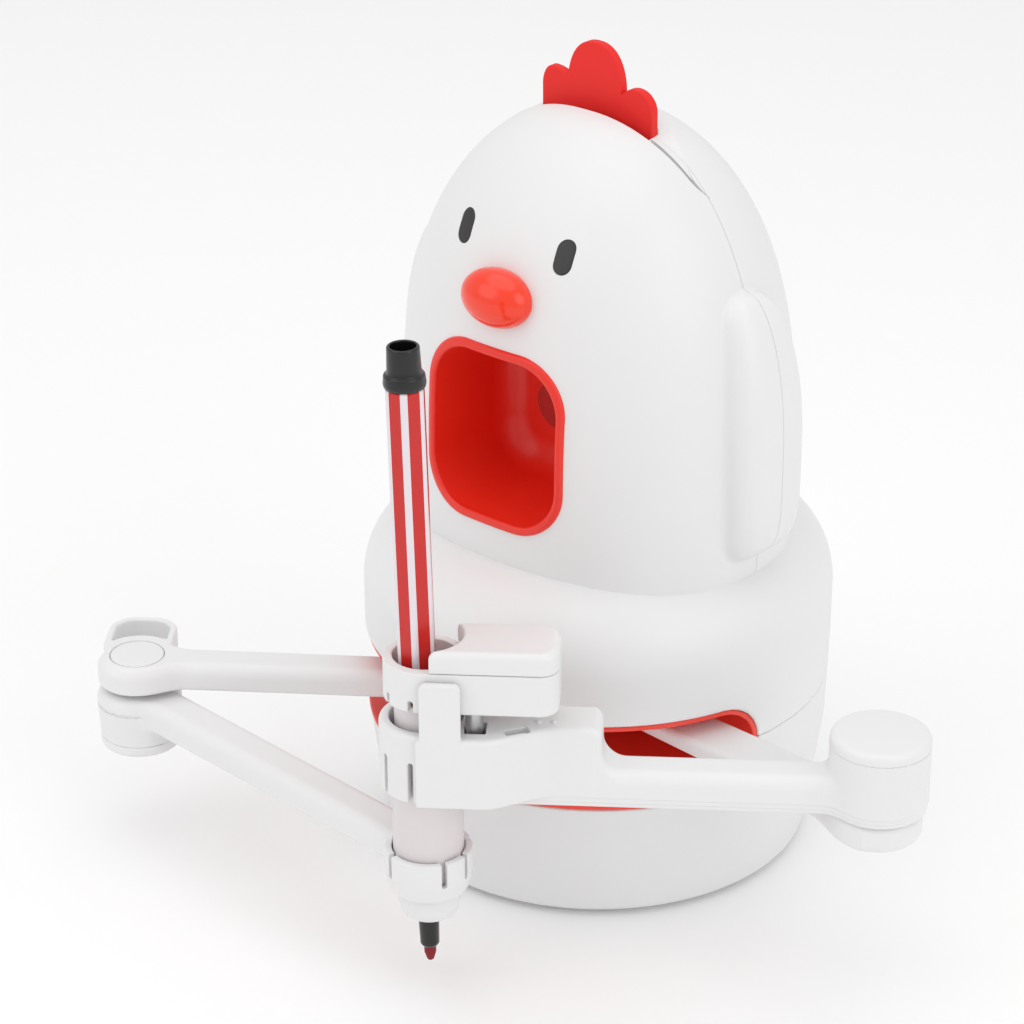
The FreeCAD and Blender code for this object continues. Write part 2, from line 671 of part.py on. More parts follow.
def is_near(edge, places):
    return any(abs(edge.BoundBox.XMin - place) < 0.02 for place in places) and edge.BoundBox.YMin > 1


def clamp_pieces():
    """The motor that lifts the pen, its cover and the two studs on the clamp."""
    motor_body = new_body("lift_motor")
    around_motor = rectangle(clamp_x("38"), clamp_x("15"), "0 - 4.2", "4")
    block(motor_body, around_motor, "right_bar_low + 1.7", "clamp_high - 3.6")
    soften(motor_body, "1.5", stands)
    in_frame(motor_body, RIGHT_ELBOW, DIMS["left_angle"])
    cover = new_body("clamp_cover")
    plate = rectangle(clamp_x("38.4"), clamp_x("14.6"), "0 - 4.3", "4.1")
    block(cover, plate, "right_bar_low", "right_bar_low + 1.5")
    in_frame(cover, RIGHT_ELBOW, DIMS["left_angle"])
    studs = []
    for inward in STUD_PLACES:
        spot = PEN_AXIS - around(inward, DIMS["left_angle"]) + around(2.3, DIMS["left_angle"] + 90)
        studs.append(cylinder("0.6", "clamp_high", "clamp_high + 0.7", spot))
    group("clamp_studs", studs)


def elbow_pieces():
    cover = new_body("left_elbow_cover")
    disc(cover, "6.9", "left_arm_high - 1.6", "left_arm_high")
    in_frame(cover, LEFT_ELBOW, 0)
    pins = (("left_elbow_pin", LEFT_ELBOW, "left_fore_low + left_cap_high + 0.4", "left_arm_high - 1.7"),
            ("right_elbow_pin", RIGHT_ELBOW, "right_hub_high - 4", "right_fore_high - right_cap_high - 0.6"))
    for label, elbow, low, high in pins:
        pin = new_body(label)
        disc(pin, "pin_radius", low, high)
        in_frame(pin, elbow, 0)
    bushes = (("left_elbow_bush", LEFT_ELBOW, "left_fore_low + left_cap_high", "left_fore_high"),
              ("right_elbow_bush", RIGHT_ELBOW, "right_fore_low", "right_fore_high - right_cap_high"))
    for label, elbow, low, high in bushes:
        bush = new_body(label)
        disc(bush, "bush_radius", low, high)
        hole(bush, "pin_radius + pin_play", f"{high} + 1", "40")
        in_frame(bush, elbow, 0)


def drive_shafts():
    for label, low, high in (("left_drive_shaft", "slot_low - 9", "hub_split_low"),
                             ("right_drive_shaft", "hub_split_high", "slot_high + 9")):
        shaft = new_body(label)
        disc(shaft, "shaft_radius", low, high)
        in_frame(shaft, SHOULDER, 0)


# ---- pen holder and pen -------------------------------------------------------------------------

def lift_carriage():
    housing = new_body("lift_housing")
    room = rectangle(clamp_x("house_end"), clamp_x("0"), "0 - house_back", "house_front")
    block(housing, room, "house_low", "house_seam")
    far = number(clamp_x("house_end"))
    soften(housing, "4", lambda edge: stands(edge) and abs(edge.BoundBox.XMin - far) < 0.02)
    disc(housing, "house_ring", "house_low", "house_seam", ("link", "0.45"))
    hole(housing, "house_bore", "house_seam + 1", "20", ("link", "0"))
    hole(housing, "rod_radius", "house_low + 4", "10", (clamp_x("rod_in"), "rod_side"))
    for degrees in (35, 75):
        low = DIMS["house_low"] - 1
        ring_slot(housing, Vector(DIMS["link"], 0, 0), degrees, low, low + 4, DIMS["house_ring"] + 1)
    lid = new_body("lift_lid")
    over = rectangle(clamp_x("house_end"), clamp_x("lid_start"), "0 - house_back", "house_front")
    block(lid, over, "house_seam", "house_high")
    soften(lid, "4", lambda edge: stands(edge) and abs(edge.BoundBox.XMin - far) < 0.02)
    soften(lid, "1.6", lambda edge: lies_at(edge, DIMS["house_high"]))
    hole(lid, "lid_bore", "house_high + 1", "20", ("link", "0"))
    rod = new_body("lift_rod")
    disc(rod, "rod_radius", "clamp_low + 4", "house_low + 4", (clamp_x("rod_in"), "rod_side"))
    for piece in (housing, lid, rod):
        in_frame(piece, RIGHT_ELBOW, DIMS["left_angle"])

    tube = new_body("pen_tube")
    disc(tube, "tube_radius", "tube_low", "tube_step")
    disc(tube, "tube_neck", "tube_step", "house_low")
    hole(tube, "tube_bore", "house_low + 1", "60")
    nozzle = new_body("pen_nozzle")
    disc(nozzle, "nozzle_radius", "nozzle_low", "tube_low")
    soften(nozzle, "2", lambda edge: is_circle(edge, DIMS["nozzle_radius"], DIMS["nozzle_low"]))
    hole(nozzle, "nozzle_bore", "tube_low + 1", "20")
    for piece in (tube, nozzle):
        in_frame(piece, PEN_AXIS, 0)


def pen():
    """The pen stands a little askew in its tube: its top leans to the robot's right and back."""
    barrel = new_body("pen_barrel")
    apothem = DIMS["pen_flats"] / 2
    corners = [around(apothem / math.cos(math.radians(30)), 60 * k + 9) for k in range(6)]
    block(barrel, [flat(corner) for corner in corners], "barrel_low", "barrel_high")
    hole(barrel, "core_radius + 0.1", "barrel_high + 1", "140")
    plug = new_body("pen_end_plug")
    disc(plug, "core_radius", "barrel_high - 4.5", "barrel_high")
    disc(plug, "plug_flange", "barrel_high", "flange_high")
    disc(plug, "plug_radius", "flange_high", "plug_high")
    hole(plug, "plug_bore", "plug_high + 1", "8")
    holder = new_body("pen_tip_holder")
    disc(holder, "collar_radius", "collar_low", "barrel_low")
    disc(holder, "holder_radius", "holder_low", "collar_low")
    hole(holder, "tip_radius", "holder_low + 8", "20")
    felt = new_body("pen_felt_tip")
    disc(felt, "tip_radius", "tip_low", "holder_low + 8")
    soften(felt, "0.9", lambda edge: is_circle(edge, DIMS["tip_radius"], DIMS["tip_low"]))
    core = new_body("pen_ink_core")
    disc(core, "core_radius", "barrel_low", "barrel_high - 4.6")
    lean = Rotation(around(1, -49), DIMS["pen_lean"])
    tip = Vector(0, 0, DIMS["tip_low"])
    for piece in (barrel, plug, holder, felt, core):
        piece.Placement = Placement(Vector(PEN_AXIS.x, PEN_AXIS.y, 0), lean, tip)


# ---- head ---------------------------------------------------------------------------------------

def head_section(level, grow):
    """A closed plan curve of the head at a level from -1 to 1 of its height above the middle."""
    height = DIMS["head_top"] - DIMS["head_middle"]
    fullness = math.sqrt(1 - abs(level) ** HEAD_FULLNESS)
    points = []
    for k in range(36):
        turn = 2 * math.pi * k / 36
        across = math.copysign(abs(math.cos(turn)) ** (2 / HEAD_SQUARENESS), math.cos(turn))
        along = math.copysign(abs(math.sin(turn)) ** (2 / HEAD_SQUARENESS), math.sin(turn))
        depth = DIMS["head_front"] if along < 0 else DIMS["head_back"]
        points.append(Vector(across * (DIMS["head_side"] * fullness + grow),
                             along * (depth * fullness + grow),
                             DIMS["head_middle"] + level * height + grow * max(level, 0)))
    curve = Part.BSplineCurve()
    curve.interpolate(Points=points, PeriodicFlag=True)
    return Part.Wire(curve.toShape())


def head_solid(grow):
    """The whole head, grown outwards by a distance."""
    return Part.makeLoft([head_section(level, grow) for level in HEAD_LEVELS], True, False)


def wing_solids():
    """The wing pads on both sides, fullest below their middle, with a straight front edge."""
    root = Vector(DIMS["wing_root"], DIMS["parting"], 0)
    sections = []
    for level in WING_LEVELS:
        above = level - DIMS["wing_full"]
        share = (above / DIMS["wing_rise"]) ** 2
        if above < 0:
            share = (-above / DIMS["wing_drop"]) ** 5
        sections.append(Part.Wire(Part.makeCircle(math.sqrt(1 - share), Vector(0, 0, level))))
    form = Part.makeLoft(sections, True, False)
    squeeze = FreeCAD.Matrix()
    squeeze.scale(DIMS["wing_out"], DIMS["wing_deep"], 1)
    form = form.transformGeometry(squeeze)
    form.translate(root)
    deep = DIMS["wing_front"] + DIMS["wing_back"]
    edge = Part.makeBox(40, deep, 80)
    edge.translate(Vector(DIMS["wing_root"] - 20, DIMS["parting"] - DIMS["wing_front"], DIMS["wing_foot"]))
    corners = [line for line in edge.Edges if line.BoundBox.XLength > 1]
    wing = form.common(edge.makeFillet(WING_CORNER, corners))
    return [wing, wing.mirror(Vector(0, 0, 0), Vector(1, 0, 0))]


def prism(half, tall, rounding, middle, near, far):
    """A rounded rectangle in the XZ plane, run along Y."""
    block_shape = Part.makeBox(2 * half, far - near, 2 * tall)
    block_shape.translate(Vector(middle.x - half, near, middle.z - tall))
    edges = [edge for edge in block_shape.Edges if edge.BoundBox.YLength > 1]
    return block_shape.makeFillet(rounding, edges)


def eye_prism(side):
    radius = DIMS["eye_radius"]
    middle = Vector(side * DIMS["eye_out"], 0, DIMS["eye_up"])
    return prism(radius, DIMS["eye_half"] + radius, radius - 0.001, middle, -45, -15)


def mouth_prism(shrink, far):
    middle = Vector(0, 0, DIMS["mouth_mid"])
    half = DIMS["mouth_half"] - shrink
    tall = DIMS["mouth_tall"] - shrink
    return prism(half, tall, DIMS["mouth_round"] - shrink, middle, -48, far)


def lobe(across, up, half, stretch):
    """A round or upright oval lobe of the comb, by its middle, half width and stretch."""
    back = DIMS["parting"] - DIMS["comb_thick"] / 2
    disc_shape = Part.makeCylinder(half, DIMS["comb_thick"], Vector(0, back, 0), Vector(0, 1, 0))
    squeeze = FreeCAD.Matrix()
    squeeze.scale(1.0, 1.0, stretch)
    disc_shape = disc_shape.transformGeometry(squeeze)
    disc_shape.translate(Vector(across, 0, up))
    return disc_shape


def comb_shape():
    """Three lobes on a straight foot, in the plane of the parting line."""
    back = DIMS["parting"] - DIMS["comb_thick"] / 2
    foot = Part.makeBox(2 * DIMS["comb_half"], DIMS["comb_thick"], DIMS["comb_shoulder"] - DIMS["comb_low"])
    foot.translate(Vector(-DIMS["comb_half"], back, DIMS["comb_low"]))
    side = DIMS["comb_side_lobe"]
    lobes = [lobe(0, DIMS["comb_mid_up"], DIMS["comb_mid_half"], 1.5)]
    for across in (-DIMS["comb_lobe_out"], DIMS["comb_lobe_out"]):
        lobes.append(lobe(across, DIMS["comb_shoulder"], side, 1.0))
    return foot.fuse(lobes).removeSplitter()


def head():
    outside = head_solid(0)
    inside = head_solid(-DIMS["head_wall"])
    whole = outside.fuse(wing_solids())
    hollow = whole.cut(inside)
    shoulder = Part.makeCylinder(DIMS["base_radius"], DIMS["shoulder_top"])
    rim = [edge for edge in shoulder.Edges if is_circle(edge, DIMS["base_radius"], DIMS["shoulder_top"])]
    hollow = hollow.cut(shoulder.makeFillet(DIMS["shoulder_round"], rim))
    depth = DIMS["comb_slot_front"] + DIMS["comb_slot_back"]
    slot = Part.makeBox(2 * DIMS["comb_slot_half"], depth, 60)
    slot.translate(Vector(-DIMS["comb_slot_half"], -DIMS["comb_slot_front"], 150))
    hollow = hollow.cut(slot)
    rib = Part.makeBox(2 * DIMS["comb_slot_half"] + 4, depth + 3.2, 60)
    rib.translate(Vector(-DIMS["comb_slot_half"] - 2, -DIMS["comb_slot_front"] - 1.6, 150))
    slot_floor = head_solid(-5.0)
    channel = inside.common(rib).cut(head_solid(-6.8)).cut(slot.cut(slot_floor))
    shaped("comb_channel", channel)
    shaped("comb", comb_shape().cut(slot_floor))
    reach = 80
    front_half = Part.makeBox(2 * reach, reach, 300)
    front_half.translate(Vector(-reach, DIMS["parting"] - reach, 0))
    front = hollow.common(front_half).cut([mouth_prism(0, -2), eye_prism(-1), eye_prism(1)])
    shaped("head_front_shell", front)
    shaped("head_back_shell", hollow.cut(front_half))

    proud = head_solid(0.25).cut(head_solid(-1.2))
    shaped("left_eye", proud.common(eye_prism(-1)))
    shaped("right_eye", proud.common(eye_prism(1)))

    wall = DIMS["mouth_wall"]
    tray = head_solid(0.8).common(mouth_prism(0, -DIMS["mouth_back"]))
    tray = tray.cut(mouth_prism(wall, -DIMS["mouth_back"] - wall))
    lens = Part.makeCylinder(DIMS["lens_radius"], wall + 0.6,
                             Vector(0, -DIMS["mouth_back"] - wall - 0.6, DIMS["mouth_mid"]), Vector(0, 1, 0))
    shaped("mouth_tray", tray.cut(lens))
    shaped("scan_window", lens)

    beak = Part.makeSphere(1)
    squeeze = FreeCAD.Matrix()
    squeeze.scale(*BEAK_SIZE)
    beak = beak.transformGeometry(squeeze)
    beak.translate(Vector(0, -DIMS["beak_out"], DIMS["beak_up"]))
    shaped("beak", beak.cut(outside))


def inside_pieces():
    plate = new_body("neck_plate")
    disc(plate, "neck_plate", "shoulder_top", "shoulder_top + 2")
    disc(plate, "neck_hole - 0.1", "shoulder_top - 4", "shoulder_top")
    hole(plate, "24", "shoulder_top + 3", "20")
    screws = []
    for turn in range(45, 360, 90):
        spot = around(DIMS["neck_screw_circle"], turn)
        hole(plate, "neck_screw + 0.05", "shoulder_top + 3", "9", flat(spot))
        hole(PARTS["base_upper_shell"], "neck_screw + 0.05", "shoulder_top + 1", "6", flat(spot))
        head_part = cylinder("neck_screw + 0.8", "shoulder_top + 2", "shoulder_top + 3.2", spot)
        shank = cylinder("neck_screw", "shoulder_top - 3", "shoulder_top + 2", spot)
        screw = doc.addObject("Part::Fuse", "NeckScrew")
        screw.Base = head_part
        screw.Tool = shank
        screws.append(screw)
    group("neck_screws", screws)

    board = box((-BOARD_HALF, BOARD_FACE, 92), (BOARD_HALF, BOARD_FACE + BOARD_THICK, 142))
    chips = [box((left, BOARD_FACE - deep, low), (right, BOARD_FACE, high))
             for left, right, deep, low, high in CHIPS]
    chips.append(cylinder("3", "128", "136", Vector(16, BOARD_FACE - 2.8, 0)))
    joined("main_board", [board] + chips)
    face = -DIMS["mouth_back"]
    eye_board = box((-13, face + 2, 104), (13, face + 2 + BOARD_THICK, 130))
    barrel_piece = doc.addObject("Part::Feature", "LensBarrel")
    barrel_piece.Shape = Part.makeCylinder(4.2, 2.0, Vector(0, face, DIMS["mouth_mid"]), Vector(0, 1, 0))
    joined("scanner_board", [eye_board, barrel_piece])

    battery = new_body("battery_pack")
    block(battery, rectangle("0 - 33", "33", "10", "27"), "13", "31")
    soften(battery, "3", stands)
    speaker = new_body("speaker")
    magnet_low = "base_low + cover_thick + 3"
    disc(speaker, "13", "base_low + cover_thick", magnet_low, ("0", "speaker_back"))
    disc(speaker, "8", magnet_low, f"{magnet_low} + 3", ("0", "speaker_back"))
    usb = box((-4.5, 46, 11.4), (4.5, 54.4, 15.2))
    mouth = box((-3.6, 49, 12.1), (3.6, 60, 14.5))
    cut("usb_socket", usb, mouth)

    out = Vector(0, 1, 0)
    cap = Part.makeCylinder(BUTTON_RADIUS, 4.3, Vector(0, 54.9, BUTTON_UP), out)
    flange = Part.makeCylinder(BUTTON_RADIUS + 1.4, 1.0, Vector(0, 54.0, BUTTON_UP), out)
    shaped("power_button", cap.fuse(flange).removeSplitter())
    switch_board = Part.makeBox(14, BOARD_THICK, 14, Vector(-7, 47, BUTTON_UP - 7))
    plunger = Part.makeBox(6, 4.2, 6, Vector(-3, 48.6, BUTTON_UP - 3))
    shaped("button_switch", switch_board.fuse(plunger))


# ---- build and export ---------------------------------------------------------------------------

lower_shell()
upper_shell()
liner()
bottom_cover()
feet_and_screws()
motors()
left_upper_arm()
right_upper_arm()
left_forearm()
right_forearm()
hub_cap("left_hub_cap", "left_fore_hub", "left_fore_low", "left_fore_low + left_cap_high",
        "left_fore_low", LEFT_ELBOW)
hub_cap("right_hub_cap", "right_fore_hub", "right_fore_high - right_cap_high", "right_fore_high",
        "right_fore_high", RIGHT_ELBOW)
clamp_pieces()
elbow_pieces()
drive_shafts()
lift_carriage()
pen()
head()
inside_pieces()
doc.recompute()

for item in doc.Objects:
    if "Invalid" in item.State or "Error" in item.State:
        raise RuntimeError(f"{item.Label} failed to build: {item.State}")
for label, piece in PARTS.items():
    if piece.Shape.isNull() or not piece.Shape.isValid():
        raise RuntimeError(f"{label} has no valid shape")
    piece.Shape.exportStep(f"parts/{label}.step")
    print(label, len(piece.Shape.Solids), round(piece.Shape.Volume / 1000, 2), "cm3")
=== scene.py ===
import json
import math
import bmesh
import bpy
import numpy as np
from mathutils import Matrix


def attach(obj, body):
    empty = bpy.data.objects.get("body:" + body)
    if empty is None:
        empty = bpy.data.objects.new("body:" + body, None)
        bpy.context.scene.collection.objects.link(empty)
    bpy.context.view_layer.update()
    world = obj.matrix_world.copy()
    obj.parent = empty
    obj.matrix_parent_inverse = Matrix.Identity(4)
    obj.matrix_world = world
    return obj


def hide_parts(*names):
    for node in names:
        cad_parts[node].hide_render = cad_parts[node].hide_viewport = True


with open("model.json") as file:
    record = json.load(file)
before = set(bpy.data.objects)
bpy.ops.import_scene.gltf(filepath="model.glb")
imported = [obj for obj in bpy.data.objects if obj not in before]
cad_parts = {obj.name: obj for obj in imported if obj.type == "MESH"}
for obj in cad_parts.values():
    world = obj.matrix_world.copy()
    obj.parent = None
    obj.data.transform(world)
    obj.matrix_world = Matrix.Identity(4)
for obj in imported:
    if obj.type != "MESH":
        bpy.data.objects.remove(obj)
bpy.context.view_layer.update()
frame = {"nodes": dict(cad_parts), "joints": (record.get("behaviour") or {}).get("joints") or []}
import openvdb
from mathutils import Matrix, Vector

# Everything below is in millimetres in the CAD frame, and goes to metres where a mesh is made.
MM = 0.001
JOINTS = {joint["name"]: joint for joint in frame["joints"]}


def joint_place(name):
    return np.array(JOINTS[name]["pos_m"]) / MM


SHOULDER = joint_place("arm_swing")
LEFT_ELBOW = joint_place("left_elbow")
RIGHT_ELBOW = joint_place("right_elbow")
PEN_AXIS = LEFT_ELBOW + RIGHT_ELBOW - SHOULDER
LINK = float(np.hypot(*(LEFT_ELBOW - SHOULDER)[:2]))
LEFT_TURN = math.atan2(*(LEFT_ELBOW - SHOULDER)[1::-1])
RIGHT_TURN = math.atan2(*(RIGHT_ELBOW - SHOULDER)[1::-1])


# ---- camera, floor and light --------------------------------------------------------------------

def make_camera():
    """A long lens that looks down at the robot from its front left."""
    azimuth = math.radians(41.0)
    elevation = math.radians(25.92)
    roll = math.radians(-0.28)
    distance = 0.78716
    back = Vector((math.sin(azimuth) * math.cos(elevation), -math.cos(azimuth) * math.cos(elevation),
                   math.sin(elevation)))
    level = Vector((math.cos(azimuth), math.sin(azimuth), 0.0))
    upright = back.cross(level)
    right = level * math.cos(roll) + upright * math.sin(roll)
    up = upright * math.cos(roll) - level * math.sin(roll)
    camera = bpy.data.objects.new("Camera", bpy.data.cameras.new("Camera"))
    camera.data.lens = 112.5
    camera.data.sensor_width = 36.0
    camera.data.clip_start = 0.01
    camera.data.clip_end = 20.0
    place = level * -0.02127 + Vector((0, 0, 0.08336)) + back * distance
    camera.matrix_world = Matrix((
        (right.x, up.x, back.x, place.x), (right.y, up.y, back.y, place.y),
        (right.z, up.z, back.z, place.z), (0, 0, 0, 1)))
    bpy.context.scene.collection.objects.link(camera)
    bpy.context.scene.camera = camera


def area_light(name, place, aim, size, power):
    lamp = bpy.data.lights.new(name, "AREA")
    lamp.shape = "DISK"
    lamp.size = size
    lamp.energy = power
    light = bpy.data.objects.new(name, lamp)
    light.location = place
    light.rotation_euler = (Vector(place) - Vector(aim)).to_track_quat("Z", "Y").to_euler()
    bpy.context.scene.collection.objects.link(light)


def make_studio():
    world = bpy.data.worlds.new("Studio")
    world.use_nodes = True
    world.node_tree.nodes["Background"].inputs["Color"].default_value = (1.0, 1.0, 1.0, 1.0)
    world.node_tree.nodes["Background"].inputs["Strength"].default_value = 0.74
    bpy.context.scene.world = world
    aim = (0.0, -0.02, 0.1)
    area_light("Overhead", (-0.1, -0.1, 1.3), aim, 1.5, 4.2)
    area_light("Front", (-0.5, -1.1, 0.8), aim, 1.1, 2.2)
    area_light("Side", (1.15, -0.1, 0.7), aim, 1.1, 3.0)
    bpy.ops.mesh.primitive_grid_add(x_subdivisions=8, y_subdivisions=8, size=14.0)
    floor = bpy.context.object
    floor.name = "floor"
    paint = bpy.data.materials.new("floor_white")
    paint.use_nodes = True
    shader = paint.node_tree.nodes["Principled BSDF"]
    shader.inputs["Base Color"].default_value = (0.92, 0.92, 0.92, 1.0)
    shader.inputs["Roughness"].default_value = 0.9
    shader.inputs["Emission Color"].default_value = (1.0, 1.0, 1.0, 1.0)
    shader.inputs["Emission Strength"].default_value = 0.05
    floor.data.materials.append(paint)
    bpy.context.scene.view_settings.view_transform = "Standard"


# ---- materials ----------------------------------------------------------------------------------

def plastic(name, colour, roughness, grain=0.02, grain_scale=2600.0, coat=0.0, mottle=0.015, **extra):
    """Moulded plastic: a fine grain in the bump, with slight cloudiness in colour and gloss."""
    material = bpy.data.materials.new(name)
    material.use_nodes = True
    tree = material.node_tree
    shader = tree.nodes["Principled BSDF"]
    place = tree.nodes.new("ShaderNodeTexCoord")
    cloud = tree.nodes.new("ShaderNodeTexNoise")
    cloud.inputs["Scale"].default_value = 40.0
    cloud.inputs["Detail"].default_value = 3.0
    tint = tree.nodes.new("ShaderNodeMix")
    tint.data_type = "RGBA"
    darker = [channel * (1.0 - mottle) for channel in colour]
    tint.inputs["A"].default_value = (*darker, 1.0)
    tint.inputs["B"].default_value = (*colour, 1.0)
    gloss = tree.nodes.new("ShaderNodeMapRange")
    gloss.inputs["To Min"].default_value = roughness * 0.9
    gloss.inputs["To Max"].default_value = min(1.0, roughness * 1.1)
    speck = tree.nodes.new("ShaderNodeTexNoise")
    speck.inputs["Scale"].default_value = grain_scale
    speck.inputs["Detail"].default_value = 2.0
    bump = tree.nodes.new("ShaderNodeBump")
    bump.inputs["Strength"].default_value = grain
    bump.inputs["Distance"].default_value = 0.0002
    link = tree.links.new
    link(place.outputs["Object"], cloud.inputs["Vector"])
    link(place.outputs["Object"], speck.inputs["Vector"])
    link(cloud.outputs["Fac"], tint.inputs["Factor"])
    link(cloud.outputs["Fac"], gloss.inputs["Value"])
    link(tint.outputs["Result"], shader.inputs["Base Color"])
    link(gloss.outputs["Result"], shader.inputs["Roughness"])
    link(speck.outputs["Fac"], bump.inputs["Height"])
    link(bump.outputs["Normal"], shader.inputs["Normal"])
    shader.inputs["Coat Weight"].default_value = coat
    shader.inputs["Coat Roughness"].default_value = 0.08
    for socket, value in extra.items():
        shader.inputs[socket.replace("_", " ")].default_value = value
    return material


def metal(name, colour, roughness):
    """Turned or drawn metal with fine upright lines."""
    material = plastic(name, colour, roughness, grain=0.05)
    tree = material.node_tree
    shader = tree.nodes["Principled BSDF"]
    shader.inputs["Metallic"].default_value = 1.0
    place = tree.nodes["Texture Coordinate"]
    stretch = tree.nodes.new("ShaderNodeMapping")
    stretch.inputs["Scale"].default_value = (3000.0, 3000.0, 60.0)
    line = tree.nodes.new("ShaderNodeTexNoise")
    line.inputs["Scale"].default_value = 1.0
    tree.links.new(place.outputs["Object"], stretch.inputs["Vector"])
    tree.links.new(stretch.outputs["Vector"], line.inputs["Vector"])
    tree.links.new(line.outputs["Fac"], tree.nodes["Bump"].inputs["Height"])
    return material


WHITE = plastic("white_satin", (0.815, 0.815, 0.815), 0.42, coat=0.06)
RED_LINER = plastic("red_liner", (0.90, 0.050, 0.028), 0.38, coat=0.15)
RED_MOUTH = plastic("red_mouth", (0.83, 0.024, 0.009), 0.42, coat=0.12)
RED_COMB = plastic("red_comb", (0.84, 0.026, 0.022), 0.55, Specular_IOR_Level=0.25)
RED_BEAK = plastic("red_beak", (0.94, 0.038, 0.006), 0.20, coat=0.3)
EYE = plastic("eye_grey", (0.024, 0.024, 0.024), 0.32, grain=0.05)
WINDOW = plastic("window_tint", (0.42, 0.03, 0.025), 0.1, coat=0.8)
TUBE = plastic("tube_pinkish", (0.74, 0.69, 0.70), 0.36, coat=0.1)
BARREL_RED = plastic("barrel_red", (0.60, 0.009, 0.005), 0.28, coat=0.15)
BARREL_WHITE = plastic("barrel_white", (0.80, 0.74, 0.78), 0.22, coat=0.5)
BLACK = plastic("gloss_black", (0.006, 0.006, 0.006), 0.24, coat=0.1)
FELT = plastic("felt_red", (0.25, 0.008, 0.014), 0.75, grain=0.5, grain_scale=5200.0)
RUBBER = plastic("foot_rubber", (0.03, 0.03, 0.03), 0.75, grain=0.2)
STEEL = metal("turned_steel", (0.56, 0.56, 0.57), 0.38)
MOTOR = metal("motor_can", (0.55, 0.55, 0.57), 0.35)
BRASS = metal("bush_brass", (0.62, 0.45, 0.20), 0.3)
BOARD = plastic("circuit_board", (0.02, 0.14, 0.05), 0.35, grain=0.3, grain_scale=900.0, coat=0.3)
BATTERY = plastic("battery_wrap", (0.05, 0.10, 0.28), 0.3, coat=0.2)
CONE = plastic("speaker_black", (0.03, 0.03, 0.03), 0.6, grain=0.3)

NODE_LOOKS = (
    (WHITE, "base_lower_shell base_upper_shell bottom_cover neck_plate power_button head_front_shell "
            "head_back_shell comb_channel left_upper_arm left_elbow_cover right_upper_arm left_forearm "
            "left_hub_cap right_forearm right_hub_cap clamp_cover clamp_studs lift_housing lift_lid"),
    (STEEL, "cover_screws motor_screws neck_screws usb_socket left_drive_shaft right_drive_shaft "
            "left_elbow_pin right_elbow_pin lift_rod"),
    (MOTOR, "lower_motor upper_motor lift_motor"),
    (BRASS, "left_elbow_bush right_elbow_bush"),
    (BOARD, "main_board scanner_board button_switch"),
    (BATTERY, "battery_pack"),
    (CONE, "speaker"),
    (RUBBER, "rubber_feet"),
    (RED_LINER, "slot_liner"),
    (RED_MOUTH, "mouth_tray"),
    (WINDOW, "scan_window"),
    (RED_BEAK, "beak"),
    (RED_COMB, "comb"),
    (EYE, "left_eye right_eye"),
    (TUBE, "pen_tube pen_nozzle"),
    (BARREL_RED, "pen_barrel"),
    (BLACK, "pen_end_plug pen_tip_holder"),
    (FELT, "pen_felt_tip pen_ink_core"),
)


def dress_cad_nodes():
    looks = {name: material for material, names in NODE_LOOKS for name in names.split()}
    for name, node in frame["nodes"].items():
        node.data.materials.clear()
        node.data.materials.append(looks[name])


# ---- shapes from distance fields ----------------------------------------------------------------
# A field is negative inside a shape and gives the distance to its surface in millimetres.

def soft_max(a, b, radius):
    """What lies in both shapes, with the edge between them rounded."""
    inner = np.minimum(-radius, np.maximum(a, b))
    return inner + np.hypot(np.maximum(radius + a, 0), np.maximum(radius + b, 0))


def soft_min(a, b, radius):
    """Both shapes together, with a fillet where they meet."""
    return -soft_max(-a, -b, radius)


def carve(a, b, radius):
    """The first shape without the second, with a rounded rim."""
    return soft_max(a, -b, radius)


def rounded_rectangle(u, v, half_u, half_v, corner):
    du = np.abs(u) - half_u + corner
    dv = np.abs(v) - half_v + corner
    return np.minimum(np.maximum(du, dv), 0) + np.hypot(np.maximum(du, 0), np.maximum(dv, 0)) - corner


def raised(plan, z, low, high, top=0.5, bottom=0.5):
    """A plan run upright from one level to another, with its rims rounded."""
    return soft_max(soft_max(plan, z - high, top), low - z, bottom)


def disc(x, y, radius, middle=(0.0, 0.0)):
    return np.hypot(x - middle[0], y - middle[1]) - radius


def ramp(value, start, end):
    """0 before start, 1 after end, and smooth between them."""
    part = np.clip((value - start) / (end - start), 0, 1)
    return part * part * (3 - 2 * part)


def ticks(start, *runs):
    """Grid lines along an axis: each run goes on to its end in its own step."""
    lines = [np.array([start])]
    for end, step in runs:
        count = max(1, round((end - start) / step))
        lines.append(np.linspace(start, end, count + 1)[1:])
        start = end
    return np.concatenate(lines)


def slope(field, points):
    """The way in which a field grows fastest at each point."""
    reach = 0.02
    sides = []
    for axis in range(3):
        shift = np.zeros(3)
        shift[axis] = reach
        sides.append((field(*(points + shift).T) - field(*(points - shift).T)) / (2 * reach))
    return np.stack(sides, axis=1)


